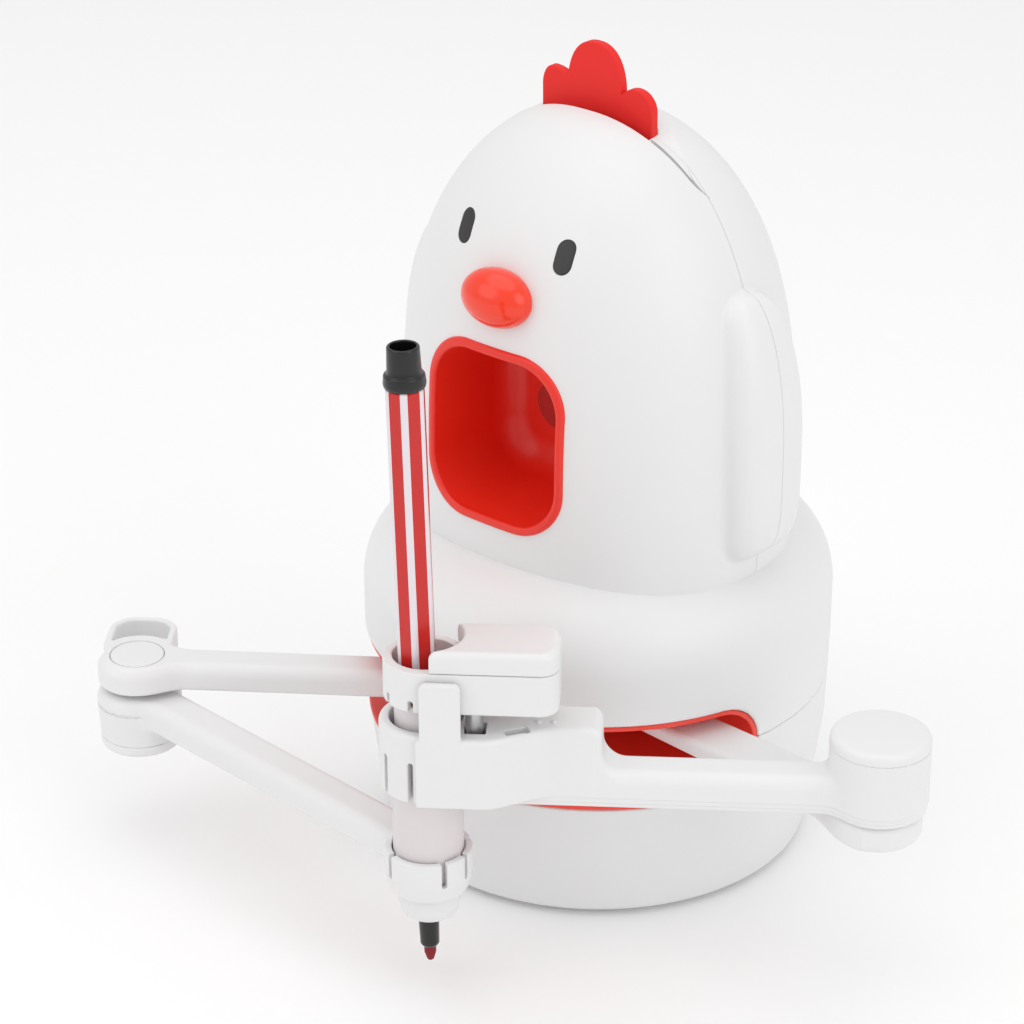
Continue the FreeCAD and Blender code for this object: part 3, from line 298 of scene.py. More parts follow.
def skin(field, x, y, z):
    """Points, faces and normals of the surface where the field is zero."""
    cells = np.broadcast_to(field(x[:, None, None], y[None, :, None], z[None, None, :]),
                            (len(x), len(y), len(z)))
    volume = openvdb.FloatGrid(5.0)
    volume.copyFromArray(np.ascontiguousarray(cells, dtype=np.float32))
    spots, faces = volume.convertToQuads()
    points = np.stack([np.interp(spots[:, axis], np.arange(len(lines)), lines)
                       for axis, lines in enumerate((x, y, z))], axis=1)
    for _ in range(4):
        rise = slope(field, points)
        steep = np.maximum((rise ** 2).sum(axis=1), 0.05)
        step = field(*points.T) / steep
        points = points - rise * np.clip(step, -0.4, 0.4)[:, None]
    rise = slope(field, points)
    normals = rise / np.maximum(np.linalg.norm(rise, axis=1), 1e-6)[:, None]
    corner = points[faces]
    turned = np.cross(corner[:, 2] - corner[:, 0], corner[:, 3] - corner[:, 1])
    if (turned * normals[faces[:, 0]]).sum() < 0:
        faces = faces[:, ::-1]
    return points, faces, normals


def placed(points, origin=(0.0, 0.0), turn=0.0):
    """From an arm's own frame to the robot's, by the arm's origin and its turn."""
    cos, sin = math.cos(turn), math.sin(turn)
    x, y, z = points.T
    return np.stack([x * cos - y * sin + origin[0], x * sin + y * cos + origin[1], z], axis=1)


def make_piece(name, points, faces, material, body, nodes, normals=None):
    """A mesh object in metres that rides on a body and stands for CAD nodes."""
    mesh = bpy.data.meshes.new(name)
    mesh.from_pydata((points * MM).tolist(), [], [list(face) for face in faces])
    mesh.shade_smooth()
    mesh.materials.append(material)
    mesh.validate()
    if normals is not None:
        mesh.normals_split_custom_set_from_vertices(normals.tolist())
    piece = bpy.data.objects.new(name, mesh)
    bpy.context.scene.collection.objects.link(piece)
    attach(piece, body)
    if nodes:
        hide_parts(*nodes)
    return piece


def sculpt(name, field, grid, material, body, nodes, origin=(0.0, 0.0), turn=0.0):
    points, faces, normals = skin(field, *grid)
    upright = placed(normals, (0.0, 0.0), turn)
    return make_piece(name, placed(points, origin, turn), faces, material, body, nodes, upright)


# ---- turned pieces ------------------------------------------------------------------------------

def rounded_profile(corners):
    """A profile of (radius, level, rounding) corners, with each rounding as a small arc."""
    steps = 5
    line = []
    for k, (radius, level, rounding) in enumerate(corners):
        spot = np.array([radius, level], dtype=float)
        if rounding == 0:
            line.append(spot)
            continue
        before = np.array(corners[k - 1][:2]) - spot
        after = np.array(corners[(k + 1) % len(corners)][:2]) - spot
        before /= np.linalg.norm(before)
        after /= np.linalg.norm(after)
        half = math.acos(np.clip(before @ after, -1, 1)) / 2
        tangent = rounding / math.tan(half)
        start, end = spot + before * tangent, spot + after * tangent
        middle = spot + (before + after) / np.linalg.norm(before + after) * rounding / math.sin(half)
        first, last = start - middle, end - middle
        opening = math.acos(np.clip(first @ last / rounding ** 2, -1, 1))
        for step in range(steps + 1):
            part = step / steps
            mix = first * math.sin((1 - part) * opening) + last * math.sin(part * opening)
            line.append(middle + mix / math.sin(opening))
    return line


def turned(name, corners, material, body, nodes, place):
    """A closed ring of profile corners spun about an upright axis; place moves it to the robot."""
    steps = 96
    profile = rounded_profile(corners)
    count = len(profile)
    points, faces = [], []
    for k in range(steps):
        angle = 2 * math.pi * k / steps
        points += [(r * math.cos(angle), r * math.sin(angle), z) for r, z in profile]
    for k in range(steps):
        here, there = k * count, (k + 1) % steps * count
        for j in range(count):
            after = (j + 1) % count
            faces.append((here + j, there + j, there + after, here + after))
    piece = make_piece(name, place(np.array(points)), faces, material, body, nodes)
    mend = bmesh.new()
    mend.from_mesh(piece.data)
    bmesh.ops.remove_doubles(mend, verts=mend.verts, dist=1e-7)
    bmesh.ops.dissolve_degenerate(mend, edges=mend.edges, dist=1e-8)
    bmesh.ops.recalc_face_normals(mend, faces=mend.faces)
    mend.to_mesh(piece.data)
    mend.free()
    piece.data.set_sharp_from_angle(angle=math.radians(38))
    return piece


def upright_at(place):
    return lambda points: points + np.array([place[0], place[1], 0.0])


# ---- arms ---------------------------------------------------------------------------------------
# Every arm is drawn along X from its inner joint, with its top upwards, so its far joint is at FAR.
# The block of the right forearm is drawn by its distance inwards from FAR.
FAR = (LINK, 0.0)
BAR_HALF = 5.5
BEAM_START = 12.6
RING_BORE = 8.5
LOOP_MIDDLE = (LINK + 0.9, -9.9)
ROD_INWARD = 11.4
ROD_ASIDE = 5.6


def cut_slits(arm, x, y, z, directions, near, low, high, rim):
    """Narrow upright slits with round ends, through the wall of the ring at FAR."""
    half = 0.6
    for direction in directions:
        cos, sin = math.cos(math.radians(direction)), math.sin(math.radians(direction))
        out = (x - LINK) * cos + y * sin
        across = -(x - LINK) * sin + y * cos
        face = rounded_rectangle(across, z - (low + high) / 2, half, (high - low) / 2, half - 0.02)
        arm = carve(arm, np.maximum(face, near - out), rim)
    return arm


def drive_root(x, y):
    """The plan of an upper arm's inner end, on its drive shaft."""
    return np.minimum(disc(x, y, 12.0), np.maximum(np.abs(y) - 4.4, np.abs(x - 7) - 7))


def left_upper_arm(x, y, z):
    """A bar that rises a little to its elbow, with the loop for the pen's cap beside the elbow."""
    rise = 0.8 * np.clip((x - BEAM_START) / (LINK - BEAM_START), 0, 1)
    beam = np.maximum(np.abs(y) - BAR_HALF, BEAM_START - x)
    beam = np.maximum(beam, x - LINK)
    beam = soft_min(beam, disc(x, y, 9.9, FAR), 4.0)
    arm = raised(beam, z, 40.4 + rise, 47.4 + rise, 3.1, 1.0)
    arm = np.minimum(arm, raised(drive_root(x, y), z, 40.4, 44.6, 0.4, 0.4))
    loop_x, loop_y = x - LOOP_MIDDLE[0], y - LOOP_MIDDLE[1]
    under = np.where(y < -12.0, 38.2, 41.2)
    loop = raised(rounded_rectangle(loop_x, loop_y, 8.6, 10.1, 6.3), z, under, 48.2, 0.8, 0.5)
    arm = soft_min(arm, loop, 0.6)
    hollow = rounded_rectangle(loop_x, loop_y, 6.8, 8.3, 4.9)
    hollow = soft_max(hollow, -disc(x, y, 10.2, FAR), 0.8)
    arm = carve(arm, hollow, 0.7)
    seat = np.maximum(disc(x, y, 6.8, FAR), 46.5 - z)
    return carve(arm, seat, 0.2)


def left_forearm(x, y, z):
    """A hub with a fine groove, a tapered bar, and the slotted lower ring round the pen's tube."""
    along = np.clip(x / LINK, 0, 1)
    low, high = 31.8 - 1.4 * along, 39.7 - 2.3 * along
    beam = np.maximum(np.abs(y) - BAR_HALF, x - LINK)
    beam = soft_max(np.maximum(beam, -x), low - z, 1.6)
    hub = disc(x, y, 10.5 - 0.4 * ramp(z, 36.0, 26.0))
    groove = np.maximum(np.abs(z - 35.8) - 0.05, 0) - 0.18
    hub = np.maximum(hub, np.minimum(-groove, hub + 0.25))
    arm = soft_min(beam, hub, 1.8)
    arm = soft_max(arm, z - high, 2.9)
    arm = soft_max(arm, 26.9 - z, 0.1)
    wall = 10.2 - 0.9 * ramp(z, 31.0, 25.4)
    ring = raised(disc(x, y, wall, FAR), z, 25.4, 36.4, 0.5, 1.4)
    arm = soft_min(arm, ring, 0.8)
    arm = carve(arm, disc(x, y, RING_BORE, FAR), 0.4)
    arm = cut_slits(arm, x, y, z, (-107, -24, 14, 60, 115), 6.7, 30.0, 44.0, 0.3)
    return carve(arm, disc(x, y, 5.0), 0.2)


def right_upper_arm(x, y, z):
    """A wider bar, flat on top, that deepens towards its elbow."""
    drop = 2.4 * np.clip((x - BEAM_START) / (LINK - 24), 0, 1) + 1.2 * ramp(x, LINK - 30, LINK - 6)
    beam = np.maximum(np.maximum(np.abs(y) - 6.5, BEAM_START - x), x - LINK)
    beam = soft_max(beam, 47.2 - drop - z, 1.0)
    arm = soft_min(beam, disc(x, y, 10.4, FAR), 5.0)
    arm = soft_max(arm, z - 50.3, 1.6)
    arm = soft_max(arm, 43.2 - z, 2.8)
    arm = np.minimum(arm, np.maximum(raised(drive_root(x, y), z, 44.9, 49.9, 0.4, 0.4), x - 14))
    return carve(arm, np.maximum(disc(x, y, 3.0, FAR), 46.0 - z), 0.2)


def right_forearm(x, y, z):
    """A hub, a bar, and the hollow clamp block with its slotted ring, front tab, rod well and vent."""
    inward = LINK - x
    strip = 0.22 * (1 - ramp(z, 53.05, 53.35)) + 0.22 * (1 - ramp(z, 51.85, 52.1))
    bar_plan = np.maximum(np.abs(y) - BAR_HALF + strip, 20.0 - inward)
    front = 12.4 - 6.8 * ramp(inward, 13.0, 29.5)
    block_plan = soft_max(np.maximum((y - front) * 0.93, -6.2 - y), inward - 40.0, 2.2)
    block_plan = soft_max(block_plan, -1.5 - inward, 0.5)
    block_plan = np.minimum(block_plan, disc(x, y, 10.8, FAR))
    top = soft_min(z - 59.6, soft_max(z - 70.8, inward - 40.0, 2.2), 5.0)
    beam = soft_max(np.maximum(bar_plan, -x), top, 1.3 + 1.9 * ramp(inward, 38.0, 46.0))
    clamp = soft_max(block_plan, top, 1.3)
    clamp = soft_max(clamp, 53.2 - z, 0.6)
    tab = rounded_rectangle(inward - 4.15, z - 74.8, 4.65, 10.0, 1.6)
    tab = soft_max(tab, np.abs(y - 11.5) - 0.9, 0.45)
    clamp = soft_min(clamp, tab, 0.01 + 0.4 * ramp(z, 69.9, 70.9))
    hub = disc(x, y, 11.5) + strip
    arm = soft_min(beam, soft_max(hub, z - 67.0, 0.15), 2.6)
    arm = soft_max(arm, 50.6 - z, 0.7)
    arm = np.minimum(arm, clamp)
    arm = carve(arm, disc(x, y, RING_BORE, FAR), 0.35)
    arm = cut_slits(arm, x, y, z, (35, 75, -40), 7.3, 48.0, 63.6, 0.25)
    well = rounded_rectangle(inward - 11.6, y - 5.7, 2.4, 2.7, 0.3)
    arm = carve(arm, np.maximum(well, 64.0 - z), 0.2)
    cos, sin = math.cos(math.radians(24.0)), math.sin(math.radians(24.0))
    u, v = inward - 20.9, y - 6.6
    vent = rounded_rectangle(u * cos - v * sin, v * cos + u * sin, 2.8, 1.1, 0.3)
    arm = carve(arm, np.maximum(vent, 68.0 - z), 0.15)
    arm = carve(arm, disc(x, y, 1.85, (LINK - ROD_INWARD, ROD_ASIDE)), 0.1)
    bay = rounded_rectangle(inward - 26.5, y + 0.1, 12.0, 4.3, 0.5)
    arm = np.maximum(arm, -np.maximum(bay, z - 67.4))
    return carve(arm, disc(x, y, 5.0), 0.2)


def housing_plan(inward, y):
    return rounded_rectangle(inward - 13.2, y - 2.0, 17.2, 8.0, 4.4)


def lift_housing(x, y, z):
    """The upper block, rounded only at its inner end, with its ring round the pen's tube."""
    inward = LINK - x
    box = np.maximum(housing_plan(inward, y), -inward)
    square = np.maximum(np.maximum(np.abs(y - 2.0) - 8.0, np.abs(inward - 8.0) - 8.0), -inward)
    ring = disc(x, y, 9.55, (LINK, 0.45))
    plan = np.minimum(np.minimum(box, square), ring)
    body = raised(plan, z, 76.1, 86.3, 0.25, 0.7)
    body = carve(body, disc(x, y, 7.4, FAR), 0.35)
    body = cut_slits(body, x, y, z, (35, 75), 6.6, 72.0, 79.1, 0.25)
    socket = np.maximum(disc(x, y, 1.75, (LINK - ROD_INWARD, ROD_ASIDE)), z - 80.1)
    return carve(body, socket, 0.1)


def lift_lid(x, y, z):
    inward = LINK - x
    square = np.maximum(np.abs(y - 2.0) - 8.0, np.abs(inward - 9.0) - 7.3)
    plan = np.minimum(np.maximum(housing_plan(inward, y), 1.7 - inward), square)
    lid = raised(plan, z, 86.45, 91.6, 1.7, 0.25)
    return carve(lid, disc(x, y, 8.9, FAR), 0.5)


def make_arms():
    left, right = LEFT_TURN, RIGHT_TURN
    shoulder, left_elbow, right_elbow = SHOULDER[:2], LEFT_ELBOW[:2], RIGHT_ELBOW[:2]
    sculpt("left_upper_arm_skin", left_upper_arm,
           (ticks(-12.8, (11.0, 0.6), (14.0, 0.4), (86.0, 1.2), (115.0, 0.33)),
            ticks(-20.2, (12.8, 0.33)), ticks(37.4, (48.8, 0.3))),
           WHITE, "left_upper_arm", ["left_upper_arm"], shoulder, left)
    sculpt("left_forearm_skin", left_forearm,
           (ticks(-11.6, (16.0, 0.4), (86.0, 1.2), (113.6, 0.3)),
            ticks(-11.6, (11.6, 0.32)), ticks(24.6, (40.4, 0.3))),
           WHITE, "left_forearm", ["left_forearm"], left_elbow, right)
    sculpt("right_upper_arm_skin", right_upper_arm,
           (ticks(-12.8, (14.0, 0.6), (80.0, 1.2), (114.0, 0.45)),
            ticks(-12.8, (12.8, 0.4)), ticks(42.4, (51.0, 0.3))),
           WHITE, "right_upper_arm", ["right_upper_arm"], shoulder, right)
    sculpt("right_forearm_skin", right_forearm,
           (ticks(-12.3, (14.0, 0.42), (58.0, 1.2), (90.0, 0.42), (114.0, 0.3)),
            ticks(-11.8, (13.2, 0.32)), ticks(49.8, (54.0, 0.22), (72.0, 0.33), (85.6, 0.33))),
           WHITE, "right_forearm", ["right_forearm"], right_elbow, left)
    sculpt("lift_housing_skin", lift_housing,
           (ticks(71.0, (112.4, 0.33)), ticks(-10.0, (10.8, 0.33)), ticks(75.4, (87.0, 0.28))),
           WHITE, "lift_carriage", ["lift_housing"], right_elbow, left)
    sculpt("lift_lid_skin", lift_lid,
           (ticks(71.0, (103.0, 0.36)), ticks(-7.0, (11.0, 0.36)), ticks(85.8, (92.2, 0.28))),
           WHITE, "lift_carriage", ["lift_lid"], right_elbow, left)
    turned("left_hub_cap_skin", [(0, 23.9, 0), (10.05, 23.9, 1.1), (10.05, 25.0, 0.1), (10.15, 25.1, 0.05),
                                 (10.15, 26.88, 0.08), (0, 26.88, 0)],
           WHITE, "left_forearm", ["left_hub_cap"], upright_at(LEFT_ELBOW))
    turned("right_hub_cap_skin", [(0, 67.02, 0), (11.5, 67.02, 0.08), (11.5, 69.55, 1.6), (0, 69.6, 0)],
           WHITE, "right_forearm", ["right_hub_cap"], upright_at(RIGHT_ELBOW))
    turned("left_elbow_cover_skin", [(0, 46.6, 0), (6.65, 46.6, 0.1), (6.65, 48.2, 0.2), (0, 48.2, 0)],
           WHITE, "left_upper_arm", ["left_elbow_cover"], upright_at(LEFT_ELBOW))


# ---- pen ----------------------------------------------------------------------------------------

PEN_LEAN = math.radians(1.3)
PEN_LEANS_TO = math.radians(-49.0)
PEN_TIP = 4.8


def in_pen_frame(points):
    """Along the pen's own axis, which leans a little at its tip."""
    axis = Vector((math.cos(PEN_LEANS_TO), math.sin(PEN_LEANS_TO), 0.0))
    lean = np.array(Matrix.Rotation(PEN_LEAN, 3, axis))
    local = points - np.array([0.0, 0.0, PEN_TIP])
    return local @ lean.T + np.array([PEN_AXIS[0], PEN_AXIS[1], PEN_TIP])


def heading(angle):
    return np.array([math.cos(angle), math.sin(angle)])


def make_barrel():
    """Six red flats with a white line printed along each rounded edge."""
    low, high, apothem, rounding, margin = 31.0, 151.5, 4.15, 1.0, 0.36
    half_corner, quarter = math.pi / 6, math.pi / 2
    to_centre = (apothem - rounding) / math.cos(half_corner)
    section = []
    for k in range(6):
        middle = math.radians(60 * k - 51)
        centre = to_centre * heading(middle)
        first, last = middle - half_corner, middle + half_corner
        section.append(centre + rounding * heading(first) + margin * heading(first - quarter))
        section += [centre + rounding * heading(middle + math.radians(-30 + 10 * step)) for step in range(7)]
        section.append(centre + rounding * heading(last) + margin * heading(last + quarter))
    rows = [(low, 0.5), (low + 0.5, 0.0), (high - 0.35, 0.0), (high, 0.35)]
    points = [(*(spot * (1 - inset / 4.6)), level) for level, inset in rows for spot in section]
    count, sides = len(section), len(rows) - 1
    faces = [(row * count + j, row * count + (j + 1) % count, (row + 1) * count + (j + 1) % count,
              (row + 1) * count + j) for row in range(sides) for j in range(count)]
    faces.append(tuple(range(count))[::-1])
    faces.append(tuple(range(sides * count, len(rows) * count)))
    piece = make_piece("pen_barrel_skin", in_pen_frame(np.array(points)), faces, BARREL_RED, "pen",
                       ["pen_barrel"])
    piece.data.materials.append(BARREL_WHITE)
    per_edge = count // 6
    for index, face in enumerate(piece.data.polygons):
        if index < count * sides and index % per_edge != per_edge - 1:
            face.material_index = 1
    piece.data.set_sharp_from_angle(angle=math.radians(35))


def make_pen():
    make_barrel()
    turned("pen_end_plug_skin", [
        (2.9, 153.4, 0.3), (0, 153.4, 0), (0, 147.0, 0), (3.2, 147.0, 0), (3.2, 151.5, 0),
        (4.55, 151.5, 0.25), (4.75, 152.4, 0.3), (4.55, 154.5, 0.5), (3.95, 154.7, 0.3),
        (3.8, 155.6, 0.2), (3.62, 161.0, 0.45), (2.9, 161.0, 0.3)],
        BLACK, "pen", ["pen_end_plug"], in_pen_frame)
    turned("pen_tip_holder_skin", [
        (0, 8.9, 0), (1.75, 8.9, 0.2), (2.25, 9.7, 0.25), (2.4, 16.0, 0.2), (2.4, 26.2, 0.2),
        (3.9, 26.2, 0.3), (3.9, 31.0, 0.2), (0, 31.0, 0)],
        BLACK, "pen", ["pen_tip_holder"], in_pen_frame)
    turned("pen_felt_tip_skin", [
        (0, PEN_TIP, 0), (0.75, PEN_TIP + 0.05, 0.5), (1.4, 7.0, 1.4), (1.4, 9.6, 0.1), (0, 9.6, 0)],
        FELT, "pen", ["pen_felt_tip"], in_pen_frame)


def make_holder():
    place = upright_at(PEN_AXIS)
    turned("pen_tube_skin", [
        (6.6, 26.0, 0), (8.2, 26.0, 0.2), (8.2, 64.0, 0.35), (7.3, 64.5, 0.2), (7.3, 76.1, 0.2),
        (6.6, 76.1, 0.2)],
        TUBE, "lift_carriage", ["pen_tube"], place)
    inwards = heading(LEFT_TURN) * -ROD_INWARD
    beside = heading(LEFT_TURN + math.pi / 2) * ROD_ASIDE
    turned("lift_rod_skin", [
        (0, 57.2, 0), (1.7, 57.2, 0.3), (1.7, 69.25, 0), (2.05, 69.4, 0.1), (2.05, 76.0, 0), (1.7, 76.1, 0),
        (1.7, 80.1, 0), (0, 80.1, 0)], STEEL, "lift_carriage", ["lift_rod"],
        upright_at(PEN_AXIS[:2] + inwards + beside))
    turned("pen_nozzle_skin", [
        (3.1, 18.6, 0.3), (6.6, 18.6, 1.7), (7.15, 21.8, 0.5), (7.15, 22.4, 0.15), (7.4, 22.5, 0.1),
        (7.4, 25.95, 0.2), (3.1, 25.95, 0.2)], WHITE, "lift_carriage", ["pen_nozzle"], place)


# ---- head ---------------------------------------------------------------------------------------

HEAD_MIDDLE = 105.84
HEAD_HEIGHT = 83.67
PARTING = -0.8
HEAD_WALL = 2.2
SEAM_GAP = 0.06
SEAM_ROUND = 0.26
MOUTH_ASIDE = -0.1
MOUTH_LEVEL = 117.3
MOUTH_HALF = (20.7, 22.4)
MOUTH_CORNER = 13.0
EYE_OUT = 14.9
EYE_ASIDE = -0.3
EYE_HALF = (2.32, 3.85)
EYE_CORNER = 2.3
COMB_HALF = 16.5
SLIT_END = 32.4
FLUTE_ENDS = (16.4, 28.6)
ABOVE_ALL = 200.0


def egg(x, y, z):
    """The plain head: full in the middle, a little squarer than an ellipse in plan."""
    v = (z - HEAD_MIDDLE) / HEAD_HEIGHT
    side = 49.37 - 1.31 * v + 0.906 * v ** 2
    front = 40.63 - 0.81 * v + 1.11 * v ** 2
    back = 37.61 - 0.75 * v + 1.32 * v ** 2
    depth = np.where(y < 0, front, back)
    square = 2.327
    fullness = 2.641
    across, along, rise = np.abs(x) / side, np.abs(y) / depth, np.abs(v)
    radius = np.maximum(across ** square + along ** square, 1e-6) ** (1 / square)
    value = radius ** 2 + rise ** fullness - 1
    pull = 2 * radius ** (2 - square)
    steep = np.sqrt((pull * across ** (square - 1) / side) ** 2 + (pull * along ** (square - 1) / depth) ** 2
                    + (fullness * rise ** (fullness - 1) / HEAD_HEIGHT) ** 2)
    return value / np.maximum(steep, 0.012)


def wings(x, y, z):
    """A long squarish pad on each side, fullest below its middle, with a soft edge all round."""
    thick, half, up, down = 12.2, 13.3, 37.6, 28.8
    out, along, above = (np.abs(x) - 43.6) / thick, np.abs(y - PARTING) / half, z - 116.0
    rise, drop = np.maximum(above, 0) / up, np.maximum(-above, 0) / down
    value = out ** 2 + along ** 4 + rise ** 2 + drop ** 6 - 1
    steep = np.sqrt((2 * out / thick) ** 2 + (4 * along ** 3 / half) ** 2 + (2 * rise / up) ** 2
                    + (6 * drop ** 5 / down) ** 2)
    narrow = 5.3 * (np.clip(z - 111.0, 0, 44) / 43.0) ** 2.6
    front, back = 12.6 - narrow, 11.0 - narrow
    side = rounded_rectangle(y - PARTING - (back - front) / 2, z - 121.1, (front + back) / 2, 33.2, 6.5)
    return soft_max(value / np.maximum(steep, 0.03), side, 2.4)


def eye_level(side):
    """The left eye sits a hair higher than the right one."""
    return 163.3 - 0.2 * side


def comb_edge(x):
    """The front shell's bowed edge before the comb, as a place along Y."""
    far = np.abs(x)
    return -6.3 + 3.2 * (far / 29.0) ** 1.7 + 0.12 * np.maximum(far - 28.5, 0) ** 2


def flute_part(x):
    """0 where the flute leaves the comb and 1 at its far end."""
    return np.clip((np.abs(x) - 17.0) / 11.5, 0, 1)


def flute_depth(x):
    return 1.6 - 1.1 * flute_part(x)


def slit_back(x):
    """The far side of the open slit along the front shell's edge."""
    return comb_edge(x) + flute_depth(x) * 1.55 + 0.3 - 0.65 * ramp(np.abs(x), 28.5, 32.4)


def flute_back(x):
    return np.maximum(2.8 - 4.9 * flute_part(x) ** 1.3, slit_back(x) + 0.05)


def head_outside(x, y, z):
    return soft_min(egg(x, y, z), wings(x, y, z), 1.4)


def find_radius(field, turn, levels):
    """How far the surface is from an upright axis on the parting plane, at each turn and level."""
    cos, sin = np.cos(turn)[None, :], np.sin(turn)[None, :]
    near = np.zeros((len(levels), len(turn)))
    far = np.full_like(near, 75.0)
    for _ in range(32):
        middle = (near + far) / 2
        inside = field(middle * cos, PARTING + middle * sin, levels[:, None]) < 0
        near, far = np.where(inside, middle, near), np.where(inside, far, middle)
    return near


def shell_grid(radius, turn, levels, top):
    """Rows of points from the shell's foot to its top, with one last point on the axis."""
    x, y = radius * np.cos(turn), PARTING + radius * np.sin(turn)
    z = np.broadcast_to(levels[:, None], x.shape)
    return np.concatenate([np.stack([x, y, z], axis=-1).reshape(-1, 3), [[0.0, PARTING, top]]])


def half_shell(side):
    """Points and faces of one half of the head's wall; side is -1 for the front and 1 for the back."""
    near_seam = np.radians([0.07, 0.11, 0.17, 0.25, 0.35, 0.6])
    onwards = np.radians(ticks(1.0, (8.0, 0.5), (18.0, 0.4), (90.0, 1.25)))
    quarter = np.concatenate([near_seam, onwards])
    turn = side * np.concatenate([quarter, math.pi - quarter[-2::-1]])
    upper = np.radians(ticks(0.0, (28.0, 0.38), (36.5, 0.3), (76.0, 0.75), (88.4, 0.9)))
    levels = np.concatenate([ticks(82.6, (HEAD_MIDDLE, 0.55))[:-1],
                             HEAD_MIDDLE + HEAD_HEIGHT * np.sin(upper)])
    outer = find_radius(head_outside, turn, levels)
    gap = np.clip(outer * np.abs(np.sin(turn)) - SEAM_GAP, 0, SEAM_ROUND)
    outer = outer - (SEAM_ROUND - np.sqrt(SEAM_ROUND ** 2 - (SEAM_ROUND - gap) ** 2))
    lower_top = 1 - HEAD_WALL / HEAD_HEIGHT
    inside = np.where(levels > HEAD_MIDDLE, HEAD_MIDDLE + (levels - HEAD_MIDDLE) * lower_top, levels)
    inner = find_radius(lambda x, y, z: egg(x, y, z) + HEAD_WALL, turn, inside)
    top = HEAD_MIDDLE + HEAD_HEIGHT
    points = np.concatenate([shell_grid(outer, turn, levels, top),
                             shell_grid(inner, turn, inside, top - HEAD_WALL)])
    rows, columns = outer.shape
    pole, other = rows * columns, rows * columns + 1
    faces = []
    for start in (0, other):
        for row in range(rows - 1):
            for k in range(columns - 1):
                here = start + row * columns + k
                faces.append((here, here + 1, here + columns + 1, here + columns))
        last = start + (rows - 1) * columns
        faces += [(last + k, last + k + 1, start + pole) for k in range(columns - 1)]
    for k in (0, columns - 1):
        for row in range(rows - 1):
            here = row * columns + k
            faces.append((here, here + columns, other + here + columns, other + here))
        last = (rows - 1) * columns + k
        faces.append((last, pole, other + pole, other + last))
    faces += [(k, k + 1, other + k + 1, other + k) for k in range(columns - 1)]
    return points, faces


def prism(outline, near, far):
    """A closed block between two places along Y, from an outline of (x, z) points."""
    count = len(outline)
    points = [(x, y, z) for y in (near, far) for x, z in outline]
    faces = [tuple(range(count)), tuple(range(2 * count - 1, count - 1, -1))]
    faces += [(k, count + k, count + (k + 1) % count, (k + 1) % count) for k in range(count)]
    return points, faces


def rounded_outline(middle, half, corner):
    """Points round a rounded rectangle."""
    steps = 16
    outline = []
    for k in range(4 * steps):
        quarter, step = divmod(k, steps)
        angle = math.pi / 2 * (quarter + step / (steps - 1))
        sign_x, sign_z = ((1, 1), (-1, 1), (-1, -1), (1, -1))[quarter]
        outline.append((middle[0] + sign_x * (half[0] - corner) + corner * math.cos(angle),
                        middle[1] + sign_z * (half[1] - corner) + corner * math.sin(angle)))
    return outline


def slab(start, end, step, far, low):
    """A closed block over a run along X, from the comb edge to far(x), and upwards from low(x, y)."""
    lines = ticks(start, (end, step))
    rows = 7
    points, faces = [], []
    for level in (0, 1):
        for x in lines:
            for y in np.linspace(comb_edge(x), far(x), rows):
                points.append((x, y, ABOVE_ALL if level else float(low(x, y))))
    count, layer = len(lines), len(lines) * rows
    for j in range(count - 1):
        for k in range(rows - 1):
            a = j * rows + k
            faces.append((a, a + 1, a + rows + 1, a + rows))
            faces.append((layer + a, layer + a + rows, layer + a + rows + 1, layer + a + 1))
    edge = [j * rows for j in range(count)] + [(count - 1) * rows + k for k in range(1, rows)]
    edge += [j * rows + rows - 1 for j in range(count - 2, -1, -1)] + [k for k in range(rows - 2, 0, -1)]
    for a, b in zip(edge, edge[1:] + edge[:1]):
        faces.append((a, b, layer + b, layer + a))
    return points, faces


def flute_floor(x, y):
    """The level of the shallow flute beside the comb, which fades into the back shell."""
    x, y = np.broadcast_arrays(np.asarray(x, dtype=float), np.asarray(y, dtype=float))
    low = np.full(x.shape, HEAD_MIDDLE)
    high = low + HEAD_HEIGHT
    for _ in range(26):
        level = (low + high) / 2
        inside = egg(x, y, level) < 0
        low, high = np.where(inside, level, low), np.where(inside, high, level)
    start = slit_back(x)
    part = np.clip((y - start) / (flute_back(x) - start), 0, 1)
    return low - flute_depth(x) * (1 - part ** 2) + 0.02 * part ** 2


def face_outwards(mesh):
    mend = bmesh.new()
    mend.from_mesh(mesh)
    bmesh.ops.recalc_face_normals(mend, faces=mend.faces)
    mend.to_mesh(mesh)
    mend.free()


def cut_out(piece, blocks):
    """Take closed blocks out of a piece."""
    points, faces = [], []
    for spots, rims in blocks:
        faces += [tuple(len(points) + k for k in rim) for rim in rims]
        points += spots
    mesh = bpy.data.meshes.new("cutter")
    mesh.from_pydata((np.array(points) * MM).tolist(), [], faces)
    face_outwards(mesh)
    cutter = bpy.data.objects.new("cutter", mesh)
    bpy.context.scene.collection.objects.link(cutter)
    trim = piece.modifiers.new("trim", "BOOLEAN")
    trim.object = cutter
    trim.operation = "DIFFERENCE"
    trim.solver = "EXACT"
    result = bpy.data.meshes.new_from_object(piece.evaluated_get(bpy.context.evaluated_depsgraph_get()))
    piece.modifiers.clear()
    piece.data = result
    bpy.data.objects.remove(cutter)


